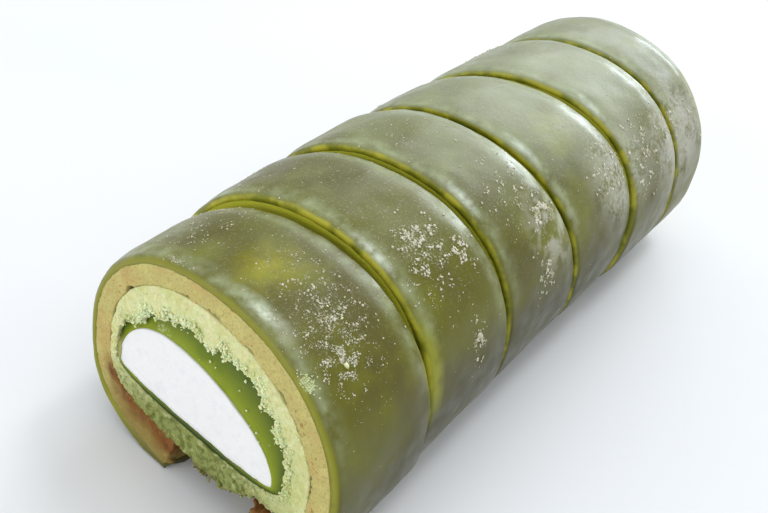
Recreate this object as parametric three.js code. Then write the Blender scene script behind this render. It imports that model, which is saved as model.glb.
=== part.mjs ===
// A green tea swiss roll cake, cut across into six slices that still lie together as one roll.
// Each slice has five layers. From the outside in they are a thin chewy skin, a firm tan cake,
// a crumbly sponge, a smooth green paste and a core of white cream. The skin and the cake were
// bent round the roll as one sheet, whose two ends leave a slot underneath.
// Units are millimetres. +X runs along the roll, +Y is to the left of someone who looks along +X,
// +Z is up, and the origin is on the floor under the middle of the roll.

import * as THREE from "three";

const { lerp } = THREE.MathUtils;

// The whole roll
const HALF_WIDTH = 32;
const TOP = 51.4;
const WIDEST_LEVEL = 22;
const FOOT_SINK = 1.2; // how far the round outline would reach below the floor that flattens it
const BOW_SIDE = 1.3; // how far the middle of the roll lies towards +Y of its ends
const BOW_UP = 1.0; // how much taller the roll is at its middle than at its ends

// The thickness of each layer on each side
const SKIN = { left: 2.0, right: 2.2, top: 2.1, foot: 1.7 };
const CAKE = { left: 4.0, right: 4.3, top: 4.2, foot: 7.9 };
const SPONGE = { left: 1.1, right: 5.1, top: 5.4, foot: 5.2 };
const PASTE = { left: 1.1, right: 2.2, top: 6.9, foot: 1 };
const CLEARANCE = { left: 0.3, right: 0.3, top: 0.3, foot: 0.3 };

// The slot under the roll, between the two ends of the skin and the cake
const SLOT_LEFT = 6;
const SLOT_RIGHT = -9.5;
const SPONGE_SAG = 1.4; // how far the sponge sinks into the slot

// The cuts. Each is a plane through a point of the roll's middle line, sloping along Y and Z.
const CUT_LEVEL = 30;
const CUTS = [
  { x: 0, perY: 0.072, perZ: 0.036 },
  { x: 24.7, perY: -0.028, perZ: 0.061 },
  { x: 52.3, perY: -0.069, perZ: -0.029 },
  { x: 81, perY: -0.07, perZ: -0.18 },
  { x: 105.4, perY: -0.204, perZ: 0.031 },
  { x: 135.4, perY: -0.04, perZ: 0.02 },
  { x: 157.6, perY: 0.134, perZ: 0.058 },
];
const SLICE_COUNT = CUTS.length - 1;
const LENGTH = CUTS[SLICE_COUNT].x;

// A cut gapes at its upper left and is nearly shut at its lower right.
const GAP_LEAST = 0.35;
const GAP_PER_Y = 0.012;
const GAP_PER_Z = 0.025;

// The skin is rounded over at each cut.
const ROUNDED_LENGTH = 1.6;
const ROUNDED_DEPTH = 0.7;

// How each slice has settled: moved along Y, and grown or sunk in height
const SETTLED = [
  { side: -0.3, up: -0.3 },
  { side: 0.3, up: 0.4 },
  { side: 0.3, up: 0.5 },
  { side: 0.2, up: -0.3 },
  { side: -0.4, up: 0.0 },
  { side: -0.1, up: -0.4 },
];

// The relief of the roll's two open ends
const CRAG_HEIGHT = 0.8;
const CRAG_SIZE = 2.6;
const CRAG_LIP = 0.9; // how far crags of sponge hang over the paste
const PASTE_SUNK = { outer: 1.6, inner: 0.7 };
const CREAM_SUNK = 0.5;
const CREAM_DOME = 0.6;

// Steps round the roll: over the skin and the cake, and over the slot
const BAND_ROUND = 40;
const SLOT_ROUND = 4;
const RING_ROUND = BAND_ROUND + SLOT_ROUND;
const SPONGE_STEPS = 5;
const CREAM_STEPS = 3;

const FINISHES = {
  skin: { color: 0x8b8d4c, roughness: 0.28, metalness: 0 },
  cake: { color: 0xcdb674, roughness: 0.9, metalness: 0 },
  sponge: { color: 0xd7dba2, roughness: 0.95, metalness: 0 },
  paste: { color: 0x7f9432, roughness: 0.4, metalness: 0 },
  cream: { color: 0xeff1f2, roughness: 0.7, metalness: 0 },
};

// Outlines of the layers' surfaces across the roll. shoulders and base say how square the upper
// and the lower half are, and lean is how much higher the top lies per millimetre towards +Y.
const SKIN_OUTSIDE = {
  left: HALF_WIDTH,
  right: -HALF_WIDTH,
  top: TOP,
  foot: 0,
  sink: FOOT_SINK,
  widest: WIDEST_LEVEL,
  shoulders: 2.15,
  base: 2.7,
  lean: 0,
};
const SKIN_INSIDE = inward(SKIN_OUTSIDE, SKIN, { sink: 0 });
const CAKE_OUTSIDE = inward(SKIN_INSIDE, CLEARANCE);
const CAKE_INSIDE = inward(CAKE_OUTSIDE, CAKE, { base: 3, lean: 0.04 });
const SPONGE_OUTSIDE = inward(CAKE_INSIDE, CLEARANCE);
const SPONGE_INSIDE = inward(SPONGE_OUTSIDE, SPONGE, {
  widest: 20.5,
  shoulders: 2.4,
  base: 2.9,
  lean: -0.11,
});
const PASTE_OUTSIDE = inward(SPONGE_INSIDE, CLEARANCE);
const PASTE_INSIDE = inward(PASTE_OUTSIDE, PASTE, {
  widest: 19,
  shoulders: 2.1,
  base: 2.6,
  lean: 0.17,
});
const CREAM_OUTSIDE = inward(PASTE_INSIDE, CLEARANCE);

// The outline that lies inside another by a wall
function inward(outline, wall, changes = {}) {
  return {
    ...outline,
    left: outline.left - wall.left,
    right: outline.right + wall.right,
    top: outline.top - wall.top,
    foot: outline.foot + wall.foot,
    ...changes,
  };
}

function middleOf(outline) {
  return { y: (outline.left + outline.right) / 2, z: outline.widest };
}

function signedPower(value, power) {
  return Math.sign(value) * Math.abs(value) ** power;
}

// The angle at which the lower half of an outline passes a given y. 0 is at +Y and a quarter
// turn is at the top.
function angleUnder(outline, y) {
  const offset = y - middleOf(outline).y;
  const share = (2 * Math.abs(offset)) / (outline.left - outline.right);
  return Math.sign(offset) * Math.asin(share ** (outline.base / 2)) - Math.PI / 2;
}

// The angle on an outline at a share of the way round from the slot's left side
function angleAt(outline, share) {
  const start = angleUnder(outline, SLOT_LEFT);
  const end = angleUnder(outline, SLOT_RIGHT) + 2 * Math.PI;
  const step = share * RING_ROUND;
  return step <= BAND_ROUND
    ? lerp(start, end, step / BAND_ROUND)
    : lerp(end, start + 2 * Math.PI, (step - BAND_ROUND) / SLOT_ROUND);
}

// The point of an outline at a share of the way round, pulled inwards by a depth
function onOutline(outline, share, pulled = 0) {
  const angle = angleAt(outline, share);
  const upper = Math.sin(angle) > 0;
  const power = 2 / (upper ? outline.shoulders : outline.base);
  const middle = middleOf(outline);
  const halfWidth = (outline.left - outline.right) / 2 - pulled;
  const reach = upper ? outline.top - middle.z : middle.z - outline.foot + outline.sink;
  const across = halfWidth * signedPower(Math.cos(angle), power);
  const height = signedPower(Math.sin(angle), power);
  const leaning = upper ? outline.lean * across * height : 0;
  const z = middle.z + (reach - pulled) * height + leaning;
  return { y: middle.y + across, z: Math.max(z, outline.foot) };
}

// How far the sponge bulges down between the ends of the cake
function sagAt(y) {
  const share = (2 * y - SLOT_LEFT - SLOT_RIGHT) / (SLOT_LEFT - SLOT_RIGHT);
  return SPONGE_SAG * Math.max(0, 1 - share * share);
}

// A fixed scatter of values from -1 to 1 over whole numbers
function scatter(i, j) {
  const value = Math.sin(i * 127.1 + j * 311.7) * 43758.5453;
  return (value - Math.floor(value)) * 2 - 1;
}

// The scatter made smooth over a surface, with crags of a given size
function crags(y, z, size) {
  const [i, j] = [Math.floor(y / size), Math.floor(z / size)];
  const [u, v] = [y / size - i, z / size - j].map((t) => t * t * (3 - 2 * t));
  const low = lerp(scatter(i, j), scatter(i + 1, j), u);
  const high = lerp(scatter(i, j + 1), scatter(i + 1, j + 1), u);
  return lerp(low, high, v);
}

// Sets a point of the straight cross-section where its slice has settled, on the slice's front or
// back face or a distance under it. The roll's own two ends have no gap before them.
function settled(slice, flat, back, under) {
  const index = slice + (back ? 1 : 0);
  const cut = CUTS[index];
  const share = cut.x / LENGTH;
  const bow = 4 * share * (1 - share);
  const y = flat.y + SETTLED[slice].side + BOW_SIDE * bow;
  const z = flat.z * (1 + (SETTLED[slice].up + BOW_UP * bow) / TOP);
  const isRollEnd = index === 0 || index === SLICE_COUNT;
  const gap = isRollEnd ? 0 : GAP_LEAST + GAP_PER_Y * (y + HALF_WIDTH) + GAP_PER_Z * z;
  const plane = cut.x + cut.perY * y + cut.perZ * (z - CUT_LEVEL);
  return [plane + (back ? -1 : 1) * (gap / 2 + under), y, z];
}

// Moves each vertex of a plain shape to its place.
function shaped(geometry, place) {
  const position = geometry.attributes.position;
  for (let i = 0; i < position.count; i += 1) {
    position.setXYZ(i, ...place(position.getX(i), position.getY(i), position.getZ(i)));
  }
  geometry.computeVertexNormals();
  return geometry;
}

// A sheet bent round the roll from one side of the slot to the other
function bentSheet(slice, outer, inner, stations) {
  const steps = stations.length - 1;
  const sheet = new THREE.BoxGeometry(1, 1, 1, BAND_ROUND, 1, steps);
  return shaped(sheet, (x, y, z) => {
    const share = ((0.5 - x) * BAND_ROUND) / RING_ROUND;
    const station = stations[Math.round((z + 0.5) * steps)];
    const point = y > 0 ? onOutline(outer, share, station.pulled) : onOutline(inner, share);
    return settled(slice, point, station.back, station.under);
  });
}

const SHEET_STATIONS = [
  { back: false, under: 0, pulled: 0 },
  { back: true, under: 0, pulled: 0 },
];
const ROUNDED_STATIONS = [
  { back: false, under: 0, pulled: ROUNDED_DEPTH },
  { back: false, under: ROUNDED_LENGTH, pulled: 0 },
  { back: true, under: ROUNDED_LENGTH, pulled: 0 },
  { back: true, under: 0, pulled: ROUNDED_DEPTH },
];

// A profile of stations carried all the way round the roll. pointOf gives a station's point of
// the cross-section and underOf gives how deep it lies under its face.
function wrapped(slice, profile, round, pointOf, underOf) {
  const points = profile.map((_, index) => new THREE.Vector2(1, index));
  return shaped(new THREE.LatheGeometry(points, round), (x, y, z) => {
    const share = (Math.atan2(x, z) / (2 * Math.PI) + 1) % 1;
    const station = profile[Math.round(y)];
    const point = pointOf(share, station);
    return settled(slice, point, station.back, underOf(point, station));
  });
}

// The stations of a face: depth is 0 on a layer's outside and 1 on its inside or at its middle.
function faceStations(back, relief, steps) {
  const count = relief ? steps : 1;
  return Array.from({ length: count + 1 }, (_, i) => ({ depth: i / count, back, relief }));
}

function between(a, b, depth) {
  return { y: lerp(a.y, b.y, depth), z: lerp(a.z, b.z, depth) };
}

// Whether a slice's front and back faces are open ends of the roll
function openFaces(slice) {
  return { front: slice === 0, back: slice === SLICE_COUNT - 1 };
}

// The crumbly ring. At an open end it is craggy, and its inner edge hangs over the paste.
function spongeRing(slice) {
  const { front, back } = openFaces(slice);
  const round = front || back ? 2 * RING_ROUND : RING_ROUND;
  const folded = (isBack) => ({ depth: 1, back: isBack, under: PASTE_SUNK.outer - 0.3 });
  const profile = [
    ...(front ? [folded(false)] : []),
    ...faceStations(false, front, SPONGE_STEPS).reverse(),
    ...faceStations(true, back, SPONGE_STEPS),
    ...(back ? [folded(true)] : []),
  ];
  const pointOf = (share, { depth, relief }) => {
    const lip = relief ? CRAG_LIP * (0.5 + 0.5 * scatter(Math.round(share * round), slice)) : 0;
    const outside = onOutline(SPONGE_OUTSIDE, share);
    const sagged = { y: outside.y, z: outside.z - (outside.z < WIDEST_LEVEL ? sagAt(outside.y) : 0) };
    return between(sagged, onOutline(SPONGE_INSIDE, share, lip), depth);
  };
  const underOf = ({ y, z }, { relief, under = 0 }) =>
    under + (relief ? CRAG_HEIGHT * crags(y, z, CRAG_SIZE) : 0);
  return wrapped(slice, [...profile, profile[0]], round, pointOf, underOf);
}

// The smooth ring. At an open end it has sunk, most of all next to the sponge.
function pasteRing(slice) {
  const { front, back } = openFaces(slice);
  const profile = [...faceStations(false, front, 1).reverse(), ...faceStations(true, back, 1)];
  const pointOf = (share, { depth }) =>
    between(onOutline(PASTE_OUTSIDE, share), onOutline(PASTE_INSIDE, share), depth);
  const underOf = (point, { depth, relief }) =>
    relief ? lerp(PASTE_SUNK.outer, PASTE_SUNK.inner, depth) : 0;
  return wrapped(slice, [...profile, profile[0]], RING_ROUND, pointOf, underOf);
}

// The core. At an open end it swells a little at its middle.
function creamCore(slice) {
  const { front, back } = openFaces(slice);
  const profile = [
    ...faceStations(false, front, CREAM_STEPS).reverse(),
    ...faceStations(true, back, CREAM_STEPS),
  ];
  const middle = middleOf(CREAM_OUTSIDE);
  const pointOf = (share, { depth }) => between(onOutline(CREAM_OUTSIDE, share), middle, depth);
  const underOf = (point, { depth, relief }) => (relief ? CREAM_SUNK - CREAM_DOME * depth : 0);
  return wrapped(slice, profile, RING_ROUND, pointOf, underOf);
}

const LAYERS = {
  skin: (slice) => bentSheet(slice, SKIN_OUTSIDE, SKIN_INSIDE, ROUNDED_STATIONS),
  cake: (slice) => bentSheet(slice, CAKE_OUTSIDE, CAKE_INSIDE, SHEET_STATIONS),
  sponge: spongeRing,
  paste: pasteRing,
  cream: creamCore,
};

const roll = new THREE.Group();
roll.name = "swiss_roll_cake";
for (let slice = 0; slice < SLICE_COUNT; slice += 1) {
  for (const [layer, geometryOf] of Object.entries(LAYERS)) {
    const mesh = new THREE.Mesh(geometryOf(slice), new THREE.MeshStandardMaterial(FINISHES[layer]));
    mesh.name = `slice_${slice + 1}_${layer}`;
    roll.add(mesh);
  }
}

// The origin is put under the middle of the roll.
const middle = new THREE.Box3().setFromObject(roll).getCenter(new THREE.Vector3());
for (const mesh of roll.children) {
  mesh.geometry.translate(-middle.x, -middle.y, 0);
}

export default roll;
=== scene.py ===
"""A green tea swiss roll cake, cut across into slices that still lie together as one roll.

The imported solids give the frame. Each layer of each slice is modelled again here with its real
surface: a chewy skin dusted with starch, fine tan cake, crumbly sponge, smooth paste and cream.
Sizes are in millimetres along the roll's own axes, and become metres as a mesh is made.
"""

import logging
import math
import random
from abc import ABC, abstractmethod
from contextlib import contextmanager
from dataclasses import dataclass, field, replace
from enum import Enum
from typing import Callable, Iterator, Optional

import bmesh
import bpy
import numpy as np
from mathutils import Matrix, Vector, noise


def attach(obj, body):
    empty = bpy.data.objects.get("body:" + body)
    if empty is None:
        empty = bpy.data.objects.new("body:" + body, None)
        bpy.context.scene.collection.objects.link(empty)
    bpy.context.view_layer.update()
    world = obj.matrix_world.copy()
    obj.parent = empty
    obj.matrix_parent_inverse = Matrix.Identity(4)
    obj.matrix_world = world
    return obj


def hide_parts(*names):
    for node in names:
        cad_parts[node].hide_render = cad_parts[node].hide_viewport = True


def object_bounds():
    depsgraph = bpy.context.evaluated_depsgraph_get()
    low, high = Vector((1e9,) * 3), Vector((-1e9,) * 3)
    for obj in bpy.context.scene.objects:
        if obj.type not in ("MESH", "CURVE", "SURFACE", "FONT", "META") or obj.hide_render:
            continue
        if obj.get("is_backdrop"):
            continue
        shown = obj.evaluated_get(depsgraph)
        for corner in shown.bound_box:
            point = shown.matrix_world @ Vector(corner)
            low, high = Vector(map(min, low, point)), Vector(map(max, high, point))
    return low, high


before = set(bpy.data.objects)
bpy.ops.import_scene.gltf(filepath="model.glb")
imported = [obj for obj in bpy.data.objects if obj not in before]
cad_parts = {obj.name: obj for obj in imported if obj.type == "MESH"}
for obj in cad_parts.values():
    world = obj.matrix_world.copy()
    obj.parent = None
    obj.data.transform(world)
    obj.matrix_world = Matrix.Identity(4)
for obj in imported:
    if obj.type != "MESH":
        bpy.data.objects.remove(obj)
CAD_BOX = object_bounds()

LOG = logging.getLogger("swiss_roll")
MM = 0.001

# The roll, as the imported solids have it
ROLL_TOP = 51.4
ROLL_LENGTH = 157.6
HALF_WIDTH = 32.0
WIDEST_LEVEL = 22.0
CUT_LEVEL = 30.0
BOW_SIDE = 1.3
BOW_UP = 1.0
SLOT_LEFT = 6.0
SLOT_RIGHT = -9.5
SPONGE_SAG = 1.4
GAP_LEAST = 0.35
GAP_PER_Y = 0.012
GAP_PER_Z = 0.025

# From the roll's own axes, which start at its first cut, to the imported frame
FRAME_SHIFT = Vector((-79.449, -0.633, 0.0)) * MM

RUN_OUT = 15.0  # how far a layer is modelled past a cut before it is trimmed
DRAWN_OUT = 3.0  # how far a layer's inside is drawn out while a face is bridged
TOUCH = 0.1  # how far neighbouring layers sink into each other, so that no light shows between
WELD = 0.01  # how near to each other two vertices become one
FOOT_HEIGHT = 10.0  # how high the sheet's torn ends reach
WALK_FINENESS = 1500  # how many steps an outline is measured in
ROUGHNESS_SIZE = 5.0  # the size of the places that are glossier or duller
ROUGHNESS_SPAN = (0.35, 0.65)  # the noise values at the least and the most roughness
NOISE_DETAIL = 3.0  # how many finer layers a pattern has
ON_PLANE = 1e-7  # how far from a cut a vertex may be and still lie on it, in metres
NO_WIDTH = 1e-6  # keeps a share of no thickness from a division by 0

INNER = "inner"
OUTER = "outer"


class Layer(Enum):
    """The layers of the roll, from the outside in, by the names of their nodes and slots."""

    SKIN = "skin"
    CAKE = "cake"
    SPONGE = "sponge"
    PASTE = "paste"
    CREAM = "cream"


class End(Enum):
    """The two faces of a slice, with the way to the slice's inside from each."""

    FRONT = 1
    BACK = -1


Point = tuple[float, float]


@dataclass(frozen=True)
class Fade:
    """A share that grows evenly from 0 at one value to 1 at another, and never falls under least."""

    start: float
    end: float
    least: float = 0.0

    def at(self, value: float) -> float:
        """The share at a value."""
        return min(max((value - self.start) / (self.end - self.start), self.least), 1.0)


@dataclass(frozen=True)
class Ripple:
    """Smooth noise of a strength and a feature size, read at an offset to differ from others."""

    strength: float
    size: float
    offset: tuple[float, float, float] = (0.0, 0.0, 0.0)

    def at(self, x: float, y: float, z: float) -> float:
        """The noise at a point, between about plus and minus its strength."""
        place = [value + shift for value, shift in zip((x, y, z), self.offset)]
        return self.strength * noise.noise(Vector(place) / self.size)


@dataclass(frozen=True)
class Wall:
    """How far one outline lies inside another on each side."""

    left: float
    right: float
    top: float
    foot: float

    @classmethod
    def even(cls, thickness: float) -> "Wall":
        """A wall of one thickness."""
        return cls(thickness, thickness, thickness, thickness)


@dataclass(frozen=True)
class Outline:
    """An egg across the roll, squarer at its foot than at its shoulders."""

    left: float = HALF_WIDTH
    right: float = -HALF_WIDTH
    top: float = ROLL_TOP
    foot: float = 0.0
    sink: float = 1.2
    widest: float = WIDEST_LEVEL
    shoulders: float = 2.15
    base: float = 2.7
    lean: float = 0.0

    def inward(self, wall: Wall, **changes: float) -> "Outline":
        """The outline that lies inside this one.

        Args:
            wall: the distances between the two.
            changes: other fields that differ.

        Returns:
            The inner outline.
        """
        return replace(
            self,
            left=self.left - wall.left,
            right=self.right + wall.right,
            top=self.top - wall.top,
            foot=self.foot + wall.foot,
            **changes,
        )

    @property
    def middle(self) -> Point:
        """The point that the outline is drawn round."""
        return (self.left + self.right) / 2, self.widest

    @property
    def half_width(self) -> float:
        """Half of the outline's width."""
        return (self.left - self.right) / 2

    def at(self, angle: float) -> Point:
        """The point at an angle, where 0 is to the left and a quarter turn is the top.

        Args:
            angle: the angle in radians.

        Returns:
            The point's y and z.
        """
        cosine, sine = math.cos(angle), math.sin(angle)
        power = 2 / (self.shoulders if sine > 0 else self.base)
        reach = self.top - self.widest if sine > 0 else self.widest - self.foot + self.sink
        across = self.half_width * math.copysign(abs(cosine) ** power, cosine)
        height = math.copysign(abs(sine) ** power, sine)
        leaning = self.lean * across * height if sine > 0 else 0.0
        z = self.widest + reach * height + leaning
        return self.middle[0] + across, max(z, self.foot)

    def angle_under(self, y: float) -> float:
        """The angle at which the outline's lower half passes y.

        Args:
            y: a place across the roll.

        Returns:
            The angle in radians.
        """
        offset = y - self.middle[0]
        share = min(abs(offset) / self.half_width, 1.0)
        return math.copysign(math.asin(share ** (self.base / 2)), offset) - math.pi / 2

    def walk(self, start: float, end: float, steps: int) -> list[Point]:
        """Evenly spaced points along the outline.

        Args:
            start: the first point's angle.
            end: the last point's angle.
            steps: how many equal steps lie between them.

        Returns:
            steps + 1 points.
        """
        fine = [self.at(start + (end - start) * i / WALK_FINENESS) for i in range(WALK_FINENESS + 1)]
        y, z = np.array(fine).T
        along = np.concatenate(([0.0], np.cumsum(np.hypot(np.diff(y), np.diff(z)))))
        even = np.linspace(0.0, along[-1], steps + 1)
        return list(zip(np.interp(even, along, y), np.interp(even, along, z)))

    def over(self, steps: int) -> list[Point]:
        """Points from the slot's left side over the top to its right side."""
        return self.walk(self.angle_under(SLOT_LEFT), self.angle_under(SLOT_RIGHT) + 2 * math.pi, steps)

    def under(self, steps: int) -> list[Point]:
        """Points through the slot, from its right side to its left side."""
        return self.walk(self.angle_under(SLOT_RIGHT), self.angle_under(SLOT_LEFT), steps)

    def share_out(self, y: float, z: float) -> float:
        """How far out a point lies: 0 at the middle, 1 on the outline.

        Args:
            y: the point's place across the roll.
            z: the point's height.

        Returns:
            The share.
        """
        upper = z > self.widest
        power = self.shoulders if upper else self.base
        reach = self.top - self.widest if upper else self.widest - self.foot + self.sink
        across = y - self.middle[0]
        height = (z - self.widest) / (reach + (self.lean * across if upper else 0.0))
        return (abs(across / self.half_width) ** power + abs(height) ** power) ** (1 / power)


SKIN_OUT = Outline()
SKIN_IN = SKIN_OUT.inward(Wall(2.0, 2.2, 2.1, 1.7), sink=0.0)
CAKE_IN = SKIN_IN.inward(Wall(4.3, 4.6, 4.5, 8.2), base=3.0, lean=0.04)
SPONGE_IN = CAKE_IN.inward(
    Wall(1.4, 5.4, 5.7, 5.5), widest=20.5, shoulders=2.4, base=2.9, lean=-0.11
)
PASTE_IN = SPONGE_IN.inward(Wall(1.4, 2.5, 7.2, 1.3), widest=19.0, shoulders=2.1, base=2.6, lean=0.17)


def outside_of(inner_neighbour: Outline) -> Outline:
    """The outside of the layer that fills an outline, sunk a little into its neighbour."""
    return inner_neighbour.inward(Wall.even(-TOUCH))


@dataclass(frozen=True)
class Face:
    """A flat cut face: x = x0 + per_y * y + per_z * z."""

    x0: float
    per_y: float
    per_z: float

    def x_at(self, y: float, z: float) -> float:
        """The face's place along the roll at a point across it."""
        return self.x0 + self.per_y * y + self.per_z * z

    def depth(self, end: End, x: float, y: float, z: float) -> float:
        """How deep a point lies under the face of one end of a slice."""
        return (x - self.x_at(y, z)) * end.value

    def moved(self, distance: float) -> "Face":
        """The same face, moved along the roll."""
        return replace(self, x0=self.x0 + distance)


@dataclass(frozen=True)
class Cut:
    """A knife cut across the roll, through a point of its middle line."""

    x: float
    per_y: float
    per_z: float
    parts_slices: bool = True

    def face(self, end: End) -> Face:
        """The cut face of the slice on one side.

        Args:
            end: whether the cut is the slice's front or its back.

        Returns:
            The face, half of the gap away from the cut.
        """
        half = end.value / 2 if self.parts_slices else 0.0
        gap_at_origin = GAP_LEAST + GAP_PER_Y * HALF_WIDTH
        return Face(
            self.x - self.per_z * CUT_LEVEL + half * gap_at_origin,
            self.per_y + half * GAP_PER_Y,
            self.per_z + half * GAP_PER_Z,
        )

    @property
    def bow(self) -> float:
        """How much of the roll's bow there is here, from 0 to 1."""
        share = self.x / ROLL_LENGTH
        return 4 * share * (1 - share)


@dataclass(frozen=True)
class Slice:
    """One slice: its two cuts, and how far it has settled across and up."""

    number: int
    front: Cut
    back: Cut
    side: float
    up: float

    def cut(self, end: End) -> Cut:
        """The cut at one end."""
        return self.front if end is End.FRONT else self.back

    def face(self, end: End) -> Face:
        """The cut face at one end."""
        return self.cut(end).face(end)

    def is_open(self, end: End) -> bool:
        """Whether the face is an open end of the roll."""
        return not self.cut(end).parts_slices

    def settled(self, end: End, point: Point) -> Point:
        """Where a point of the plain cross-section has settled at one end.

        Args:
            end: the end.
            point: its y and z on the plain outline.

        Returns:
            Its y and z on the roll.
        """
        bow = self.cut(end).bow
        return (
            point[0] + self.side + BOW_SIDE * bow,
            point[1] * (1 + (self.up + BOW_UP * bow) / ROLL_TOP),
        )

    def node(self, layer: Layer) -> str:
        """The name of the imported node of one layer."""
        return f"slice_{self.number}_{layer.value}"


CUTS = (
    Cut(0.0, 0.072, 0.036, parts_slices=False),
    Cut(24.7, -0.028, 0.061),
    Cut(52.3, -0.069, -0.029),
    Cut(81.0, -0.07, -0.18),
    Cut(105.4, -0.204, 0.031),
    Cut(135.4, -0.04, 0.02),
    Cut(ROLL_LENGTH, 0.134, 0.058, parts_slices=False),
)
SETTLED = ((-0.3, -0.3), (0.3, 0.4), (0.3, 0.5), (0.2, -0.3), (-0.4, 0.0), (-0.1, -0.4))
SLICES = tuple(
    Slice(number + 1, CUTS[number], CUTS[number + 1], *settling)
    for number, settling in enumerate(SETTLED)
)


def deselect_all() -> None:
    """Leaves object mode with nothing selected."""
    if bpy.context.object and bpy.context.object.mode != "OBJECT":
        bpy.ops.object.mode_set(mode="OBJECT")
    bpy.ops.object.select_all(action="DESELECT")


def pick(*objects: bpy.types.Object) -> None:
    """Selects objects and makes the first of them active.

    Args:
        objects: the objects, the first of which becomes active.
    """
    deselect_all()
    for item in objects:
        item.select_set(True)
    bpy.context.view_layer.objects.active = objects[0]


@contextmanager
def editing(piece: bpy.types.Object, mode: str = "EDGE") -> Iterator[None]:
    """Opens a piece in edit mode with nothing selected, and closes it again.

    Args:
        piece: the piece to edit.
        mode: what is selected in it: VERT, EDGE or FACE.
    """
    pick(piece)
    bpy.ops.object.mode_set(mode="EDIT")
    bpy.ops.mesh.select_mode(type=mode)
    bpy.ops.mesh.select_all(action="DESELECT")
    yield
    bpy.ops.object.mode_set(mode="OBJECT")


def select_edges(piece: bpy.types.Object, wanted: Callable[[bmesh.types.BMEdge], bool]) -> None:
    """Selects the edges of the piece in edit mode that a test picks, and no others.

    Args:
        piece: the piece.
        wanted: the test.
    """
    mesh = bmesh.from_edit_mesh(piece.data)
    for edge in mesh.edges:
        edge.select_set(False)
    for edge in [edge for edge in mesh.edges if wanted(edge)]:
        edge.select_set(True)
    bmesh.update_edit_mesh(piece.data)


def finish_modifier(piece: bpy.types.Object, kind: str, **settings: object) -> None:
    """Adds a modifier with its settings and applies it.

    Args:
        piece: the piece that gets it.
        kind: the modifier's type.
        settings: its settings by name.
    """
    pick(piece)
    modifier = piece.modifiers.new(kind.title(), kind)
    for name, value in settings.items():
        setattr(modifier, name, value)
    bpy.ops.object.modifier_apply(modifier=modifier.name)


def add_loop(name: str, points: list[Point], x: float) -> bpy.types.Object:
    """Adds a closed loop across the roll.

    Args:
        name: the new object's name.
        points: its y and z, in order.
        x: its place along the roll.

    Returns:
        The object, which has edges only.
    """
    deselect_all()
    bpy.ops.mesh.primitive_circle_add(vertices=len(points), radius=HALF_WIDTH * MM)
    loop = bpy.context.object
    loop.name = name
    for vertex, (y, z) in zip(loop.data.vertices, points):
        vertex.co = Vector((x, y, z)) * MM
    return loop


@dataclass(frozen=True)
class Tear:
    """How one end of the sheet is torn back from the slot at an open face of the roll.

    The shift across the roll is whole at the sheet's end and fades out towards fades_at, and with
    the depth under the face. It moves only what lies below a height, and no farther past the end
    than a share of the way from fades_at.
    """

    end: float
    fades_at: float
    at_floor: float
    at_sponge: float
    depth: float = 10.0
    below: float = WIDEST_LEVEL / 2
    past: float = 1.2

    def shift(self, y: float, z: float, depth: float) -> float:
        """How far a point of the sheet moves across the roll.

        Args:
            y: the point's place across the roll.
            z: its height.
            depth: how deep it lies under the open face.

        Returns:
            The distance, which is 0 away from this end.
        """
        along = (y - self.fades_at) / (self.end - self.fades_at)
        if not 0 < along <= self.past or depth > self.depth or z > self.below:
            return 0.0
        up = min(z / FOOT_HEIGHT, 1.0)
        whole = self.at_floor + (self.at_sponge - self.at_floor) * up
        return whole * min(along, 1.0) * (1 - max(depth, 0.0) / self.depth)


TEARS = (Tear(SLOT_LEFT, 15.0, 3.2, 0.4), Tear(SLOT_RIGHT, -20.0, -4.5, -4.5))
TORN = (Ripple(0.35, 2.2), Ripple(0.35, 0.9, (0.0, 3.0, 0.0)))


@dataclass
class Relief:
    """One application of a procedural texture to the surface of a cut face."""

    pattern: str
    size: float
    height: float
    direction: str = "X"
    middle: float = 0.5
    settings: dict = field(default_factory=dict)

    def texture(self, name: str) -> bpy.types.Texture:
        """The texture, scaled to its real size.

        Args:
            name: the texture's name.

        Returns:
            The texture.
        """
        texture = bpy.data.textures.new(name, self.pattern)
        texture.noise_scale = self.size * MM
        for key, value in self.settings.items():
            setattr(texture, key, value)
        return texture

    def press(self, piece: bpy.types.Object, group: str) -> None:
        """Moves the piece's surface by the texture.

        Args:
            piece: the piece that gets the relief.
            group: the vertex group that says where.
        """
        finish_modifier(
            piece,
            "DISPLACE",
            texture=self.texture(f"{piece.name}_{group}"),
            texture_coords="LOCAL",
            direction=self.direction,
            strength=self.height * MM,
            mid_level=self.middle,
            vertex_group=group,
        )


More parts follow.
